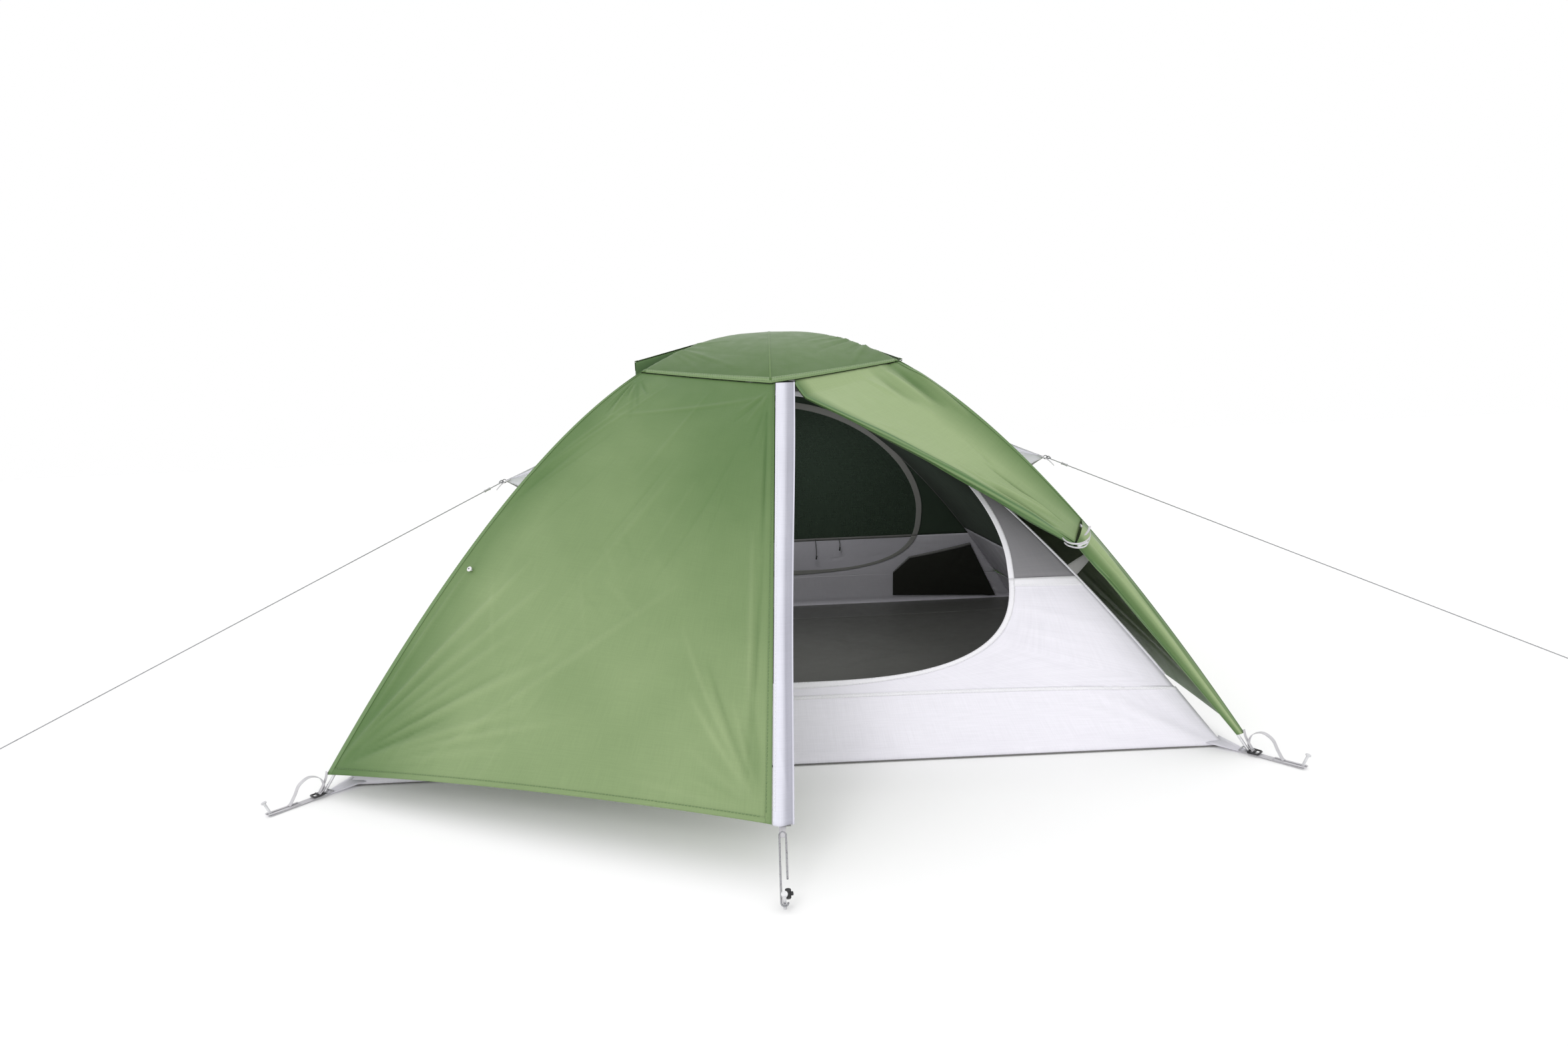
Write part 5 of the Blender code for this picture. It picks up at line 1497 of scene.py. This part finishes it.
# painted shade: the lower rear door's white gets a deeper tone for the shade inside the tent
sheet("rear_door_low", raised(rear_door(REAR_SPLIT, DOOR_LOW), creases(lines, DOOR_SIZE), out=(0, 1, 0)),
      (90, 24), WHITE, tone=0.55, slot="white_nylon", replaces=["inner_rear_door"])
sheet("rear_door_mesh", raised(rear_door(DOOR_HIGH, REAR_SPLIT), None, out=(0, 1, 0)), (90, 50),
      DARK_MESH, tone=0.4, slot="canopy_mesh")
sheet("rear_split_tape", raised(rear_door(REAR_SPLIT + 0.006, REAR_SPLIT - 0.006), None, out=(0, -1, 0)),
      (90, 2), TRIM_GREY, more=0.0014, tone=0.6, trim_of="rear_door_low", slot="white_nylon")


def loop_cord(index, x, length):
    """Tie-back loop with its toggle, hanging from the rear door's seam."""
    start = np.array((x, wall_y(np.array(REAR_SPLIT)) - 0.006, REAR_SPLIT + 0.002))
    points = smooth_path([start, start + (0.001, -0.003, -0.2 * length),
                          start + (0.003, -0.004, -0.6 * length),
                          start + (0.002, -0.004, -0.985 * length)], 20)
    cord = tube(f"door_tie_{index}", points, 0.0017, DARK_CORD, sides=8, slot="cord")
    bar = lathe(f"door_tie_knot_{index}", [(0.001, -0.008), (0.0034, -0.0075), (0.0030, 0.0),
                                           (0.0034, 0.0075), (0.001, 0.008)],
                points[-1] + (0, 0, -0.002), (0.2, 0.1, 1.0), BLACK_PLASTIC, slot="black_plastic")


for index, (x, length) in enumerate(((0.01, 0.085), (0.158, 0.080), (0.261, 0.045), (-0.25, 0.08))):
    loop_cord(index, x, length)


def pocket_surface(u, v):
    tops = np.array([(0.505, 0.157), (0.572, 0.229), (0.70, 0.254), (0.837, 0.284)])
    lows = np.array([(0.509, 0.039), (0.66, 0.032), (0.82, 0.024), (0.982, 0.016)])
    marks = np.array((0.0, 0.22, 0.58, 1.0))
    u = np.clip(u, 0, 1)
    x = np.interp(u, marks, tops[:, 0]) * (1 - v) + np.interp(u, marks, lows[:, 0]) * v
    z = np.interp(u, marks, tops[:, 1]) * (1 - v) + np.interp(u, marks, lows[:, 1]) * v
    belly = 0.010 * np.sin(np.pi * u) * np.sin(np.pi * np.clip(v, 0, 1)) ** 0.6
    return stack(x, wall_y(z) - 0.007 - belly, z)


POCKET_SIZE = (0.40, 0.20)
lines = scattered(97, 12, (0.08, 0.3), (-30, 30), 0.007, 0.003, POCKET_SIZE)
for side in (-1, 1):
    def pocket_side(u, v, side=side):
        return pocket_surface(u, v) * np.array((side, 1, 1))
    pocket = raised(pocket_side, creases(lines, POCKET_SIZE), out=(0, -1, 0))
    title = f"pocket_{'left' if side < 0 else 'right'}"
    sheet(title, pocket, (50, 30), POCKET_MESH, tone=0.5, held="hung", slot="canopy_mesh")
    sheet(title + "_edge", pocket, (50, 2), TRIM_GREY, window=(0, 1, 0.0, 0.045), more=0.0012,
          tone=0.7, trim_of=title, slot="white_nylon")


# ---- rolled inner door, tied beside its opening ----
steps = np.linspace(0.80, 1.28, 50) * math.pi
rise = np.where(np.sin(steps) > 0, DOOR_HIGH - DOOR_MIDDLE, DOOR_MIDDLE - DOOR_LOW)
roll_z = DOOR_MIDDLE + rise * np.sin(steps)
roll_path = stack((DOOR_HALF + 0.012) * np.cos(steps), -wall_y(roll_z) - 0.031, roll_z)
share = np.linspace(0, 1, 50)
roll_size = 0.55 + 0.45 * np.clip(np.minimum(share, 1 - share) * 5, 0, 1)
pinch = 1 - 0.28 * np.exp(-((share - 0.35) / 0.02) ** 2) - 0.28 * np.exp(-((share - 0.68) / 0.02) ** 2)
inner_roll = tube("inner_roll", roll_path, 0.026, GREY_MESH, sides=24, radii=roll_size * pinch,
                  slot="white_nylon", replaces=["inner_door_roll"])
centre = np.repeat(roll_path, 24, axis=0)
turn = np.tile(np.arange(24) / 24 * 2 * math.pi, 50)
along = np.repeat(share, 24)
places = np.array([v.co for v in inner_roll.data.vertices])
wave = 1 + 0.07 * np.sin(4 * turn + 9 * along) + 0.05 * np.sin(7 * turn - 14 * along)
inner_roll.data.vertices.foreach_set("co", (centre + (places - centre) * wave[:, None]).ravel())
for index, at in enumerate((0.35, 0.68)):
    k = int(at * 49)
    run = roll_path[k + 1] - roll_path[k - 1]
    ring(f"roll_tie_{index}", roll_path[k], run, 0.0200, 0.0016, DARK_CORD, slot="cord")


# ================================================================ pole clips
def clip(index, share, end, door):
    """Fabric tab and plastic hook that hang the inner tent from a pole."""
    pole = pole_at(np.array(share), end, door)
    reach = np.linspace(0.05, 0.93, 200)
    heights = reach * 0.945
    anchors = stack(end * (canopy_half(heights) - 0.004), door * (wall_y(heights) - 0.002), heights)
    anchor = anchors[np.argmin(np.linalg.norm(anchors - pole, axis=1))]
    run = pole - anchor
    gap = np.linalg.norm(run)
    run = run / gap
    pole_run = pole_at(np.array(share + 0.01), end, door) - pole
    pole_run /= np.linalg.norm(pole_run)
    seam_run = anchors[120] - anchors[100]
    seam_run /= np.linalg.norm(seam_run)
    stop = pole - run * 0.016
    rows = []
    for t in np.linspace(0, 1, 8):
        half = 0.013 * (1 - t) ** 0.8 + 0.005
        middle = anchor + (stop - anchor) * t
        rows.append([middle + seam_run * half * s for s in (-1, -0.5, 0, 0.5, 1)])
    points = np.array(rows)
    tab = mesh_piece(f"clip_tab_{index}", points.reshape(-1, 3), grid_faces(4, 7), TRIM_GREY,
                     points.reshape(-1, 3)[:, :2], np.full(40, 0.9), slot="white_nylon")
    thicken(tab, 0.0010)
    add_trim("canopy_mesh", tab)
    side = np.cross(pole_run, run)
    hook = [pole + run * 0.0072 * math.cos(a) * -1 + side * 0.0072 * math.sin(a)
            for a in np.linspace(-0.3, 2 * math.pi - 1.6, 24)]
    hook = [stop - run * 0.003, stop + run * 0.004, *hook]
    tube(f"clip_hook_{index}", np.array(hook), 0.0026, BLACK_PLASTIC, sides=8, flat=1.8,
         slot="black_plastic")


number = 0
for end in (-1, 1):
    for door in (-1, 1):
        for share in (0.20, 0.42, 0.60, 0.755):
            clip(number, share, end, door)
            number += 1


# ================================================================ corners
def make_corner(name, end, door):
    floor = np.array((end * FLOOR_X, door * FLOOR_Y, 0.0))
    foot = np.array((end * POLE_X, door * POLE_Y, 0.0))
    run = (foot - floor) / np.linalg.norm(foot - floor)
    side = np.array((-run[1], run[0], 0.0))
    up = np.array((0.0, 0.0, 1.0))
    begin = floor + run * 0.012

    def at(along, across, height):
        return begin + run * along + side * across + up * height
    rows = []
    for t in np.linspace(0, 1, 7):
        half = 0.034 * (1 - t) + 0.010 * t
        middle = floor - run * 0.018 + run * 0.062 * t + up * (0.014 * (1 - t) + 0.0035)
        rows.append([middle + side * half * s - run * 0.012 * abs(s) * (1 - t)
                     - up * 0.006 * abs(s) * (1 - t) for s in np.linspace(-1, 1, 7)])
    points = np.array(rows).reshape(-1, 3)
    tab = mesh_piece(f"corner_tab_{name}", points, grid_faces(6, 6), WHITE, points[:, :2],
                     np.full(49, 0.6), slot="white_nylon")
    thicken(tab, 0.0012)
    add_trim("ground_sheet", tab)
    line = [at(0.030, 0, 0.0040), at(0.045, 0, 0.0038), at(0.075, 0, 0.0030), at(0.120, 0, 0.0026),
            at(0.140, 0, 0.0022), at(0.152, 0, 0.0020), at(0.1585, 0, 0.0026), at(0.1610, 0, 0.0042),
            at(0.1585, 0, 0.0056), at(0.150, 0, 0.0052), at(0.125, 0, 0.0046), at(0.095, 0, 0.0048)]
    path = smooth_path(line, 60)
    low_half = np.array(path[:30])
    strap(f"strap_low_{name}", low_half, 0.019, 0.0013, WEBBING, side, slot="webbing",
          replaces=[f"corner_strap_{name}"], trim_of="ground_sheet")
    for edge in (-1, 1):
        shift = side * edge * 0.0067
        strap(f"strap_loop_{name}_{'a' if edge < 0 else 'b'}", np.array(path[29:]) + shift,
              0.0058, 0.0012, WEBBING, side, slot="webbing", trim_of="ground_sheet")
    tail = smooth_path([at(0.052, 0.001, 0.0085), at(0.040, 0.002, 0.022), at(0.046, 0.003, 0.046),
                        at(0.068, 0.003, 0.058), at(0.090, 0.002, 0.048), at(0.102, 0.001, 0.026),
                        at(0.112, 0.0, 0.0095), at(0.116, 0, 0.0066)], 50)
    strap(f"strap_tail_{name}", tail, 0.0135, 0.0012, WEBBING, side, slot="webbing",
          trim_of="ground_sheet")

    def frame_bar(title, along, height, half, thick, gap):
        loop = []
        for a, b in ((-gap, -half), (gap, -half), (gap, half), (-gap, half)):
            loop.append((along + a, b))
        corners = [at(x, y, height + 0.001 * k) for k, (x, y) in enumerate(loop)]
        corners = [*corners, corners[0]]
        path = []
        for p, q in zip(corners, corners[1:]):
            path += [p + (q - p) * s for s in (0.06, 0.5, 0.94)]
        path.append(path[0])
        tube(title, np.array(path), thick, CLEAR_GREY if "slot" in title else BLACK_PLASTIC,
             sides=8, slot="black_plastic")
    frame_bar(f"ladder_lock_{name}", 0.054, 0.0065, 0.0125, 0.0022, 0.011)
    frame_bar(f"slot_buckle_{name}", 0.030, 0.0060, 0.0120, 0.0018, 0.006)
    bar = np.array([at(0.054, -0.0125, 0.0085), at(0.054, 0.0125, 0.0085)])
    tube(f"ladder_bar_{name}", bar, 0.0022, BLACK_PLASTIC, sides=8, slot="black_plastic")
    tip = pole_at(np.array(0.9965), end, door)
    grommet = at(0.045, 0, 0.0052)
    ring(f"grommet_{name}", (tip[0], tip[1], 0.0048), (0, 0, 1), 0.0066, 0.0016, STAKE_METAL,
         slot="stake_aluminium")
    fly_hook = fly_line(np.array(CORNER_END), end, door)
    pull = smooth_path([fly_hook + (0, 0, 0.008), fly_hook + np.array((end, door, 0)) * 0.004
                        + (0, 0, -0.012), at(0.050, 0.0, 0.012)], 24)
    strap(f"fly_pull_{name}", pull, 0.010, 0.0012, WEBBING, side, slot="webbing",
          trim_of="ground_sheet")
    return grommet


for corner, end, door in (("front_left", -1, -1), ("front_right", 1, -1), ("rear_left", -1, 1),
                          ("rear_right", 1, 1)):
    make_corner(corner, end, door)


# ================================================================ pull-outs
def make_pullout(name, door, x):
    top = np.array((x, door * 1.336, 0.088))
    low = np.array((x, door * 1.438, 0.010))
    run = (low - top) / np.linalg.norm(low - top)
    side = np.array((1.0, 0.0, 0.0))
    owner = "storm_strip" if door < 0 else "rear_storm_strip"
    tab = smooth_path([top - run * 0.030 + (0, door * 0.004, 0.004), top - run * 0.012 + (0, door * 0.003, 0),
                       top + run * 0.006, top + run * 0.010 + (0, -door * 0.003, 0.0),
                       top - run * 0.006 + (0, -door * 0.004, 0)], 30)
    strap(f"pullout_tab_{name}", tab, 0.012, 0.0013, WEBBING, side, slot="webbing", trim_of=owner)
    half = 0.0060
    points = []
    for middle, first in ((low - run * half, 0.0), (top + run * half, math.pi)):
        for step in np.linspace(0, math.pi, 12):
            angle = first + step
            points.append(middle + side * half * math.cos(angle) + run * half * math.sin(angle))
    ring_path = np.array([*points, points[0]])
    fine = np.concatenate([np.linspace(a, b, 4)[:-1] for a, b in zip(ring_path, ring_path[1:])])
    tube(f"pullout_cord_{name}", fine, 0.0019, CORD, sides=8, slot="cord", caps=False,
         replaces=[f"pullout_loop_{name}"])
    if door < 0:
        low_box, high_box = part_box("cord_lock")
        centre = (np.array(low_box) + np.array(high_box)) / 2
        lathe("lock_barrel", [(0.0024, -0.0080), (0.0046, -0.0078), (0.0055, -0.0066), (0.0055, -0.0022),
                              (0.0049, -0.0012), (0.0049, 0.0012), (0.0055, 0.0022), (0.0055, 0.0066),
                              (0.0046, 0.0078), (0.0024, 0.0080)],
              centre, run, BLACK_PLASTIC, body="lock", slot="black_plastic", replaces=["cord_lock"])
        lathe("lock_button", [(0.0012, -0.0040), (0.0030, -0.0038), (0.0034, 0.0), (0.0030, 0.0022),
                              (0.0010, 0.0026)],
              centre + np.array((0.0068, -0.001, 0.001)), (1.0, 0.0, 0.1), BLACK_PLASTIC, body="lock",
              slot="black_plastic")


make_pullout("front", -1, -0.011)
make_pullout("rear", 1, 0.0)


# ================================================================ zip sliders
def make_slider(name, body, node, material, slot_name, run, out):
    low_box, high_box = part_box(node)
    centre = (np.array(low_box) + np.array(high_box)) / 2
    run = np.array(run) / np.linalg.norm(run)
    out = np.array(out) - run * np.dot(out, run)
    out /= np.linalg.norm(out)
    side = np.cross(run, out)
    verts = []
    profile = ((-0.0090, 0.0030), (-0.0060, 0.0046), (0.0, 0.0040), (0.0050, 0.0034), (0.0090, 0.0022))
    for along, half in profile:
        for s, t in ((-1, -0.0022), (1, -0.0022), (1, 0.0006), (0.6, 0.0022), (-0.6, 0.0022), (-1, 0.0006)):
            verts.append(centre + run * along + side * half * s + out * t)
    faces = grid_faces(6, len(profile) - 1, wrap=True)
    faces += [tuple(range(6))[::-1], tuple(range(6 * len(profile) - 6, 6 * len(profile)))]
    mesh_piece(f"slider_{name}", verts, faces, material, smooth=False, body=body, slot=slot_name,
               replaces=[node])
    pull = [centre + out * 0.0034 + run * s for s in np.linspace(0.002, 0.034, 12)]
    strap(f"slider_pull_{name}", pull, 0.0042, 0.0011, material, side, body=body, slot=slot_name)


closing_run = HEM_FRONT - PEAK
make_slider("front", "front_zip", "door_zip_slider", BLACK_PLASTIC, "black_plastic", closing_run,
            (0.0, 1.0, 0.2))
make_slider("inner", "inner_zip", "inner_zip_slider", WHITE_PLASTIC, "white_plastic",
            (-1.0, 0.0, 0.0), (0.0, -0.9, 0.43))

# ================================================================ CAD parts that stay
for title, node in NODES.items():
    if title.startswith(("pole_a_section", "pole_b_section", "pole_tip", "ridge_pole")) or "ferrule" in title:
        finish = ALUMINIUM
    elif title.endswith("shock_cord"):
        finish = DARK_CORD
    elif "stake" in title:
        finish = STAKE_METAL
    else:
        continue
    node.data.materials.clear()
    node.data.materials.append(finish)

declare_sheets()

# ================================================================ studio floor
ground = bpy.data.meshes.new("studio_floor")
ground.from_pydata([(-40, -40, -0.0005), (40, -40, -0.0005), (40, 40, -0.0005), (-40, 40, -0.0005)],
                   [], [(0, 1, 2, 3)])
ground.materials.append(floor_material())
stage_floor = bpy.data.objects.new("studio_floor", ground)
bpy.context.scene.collection.objects.link(stage_floor)
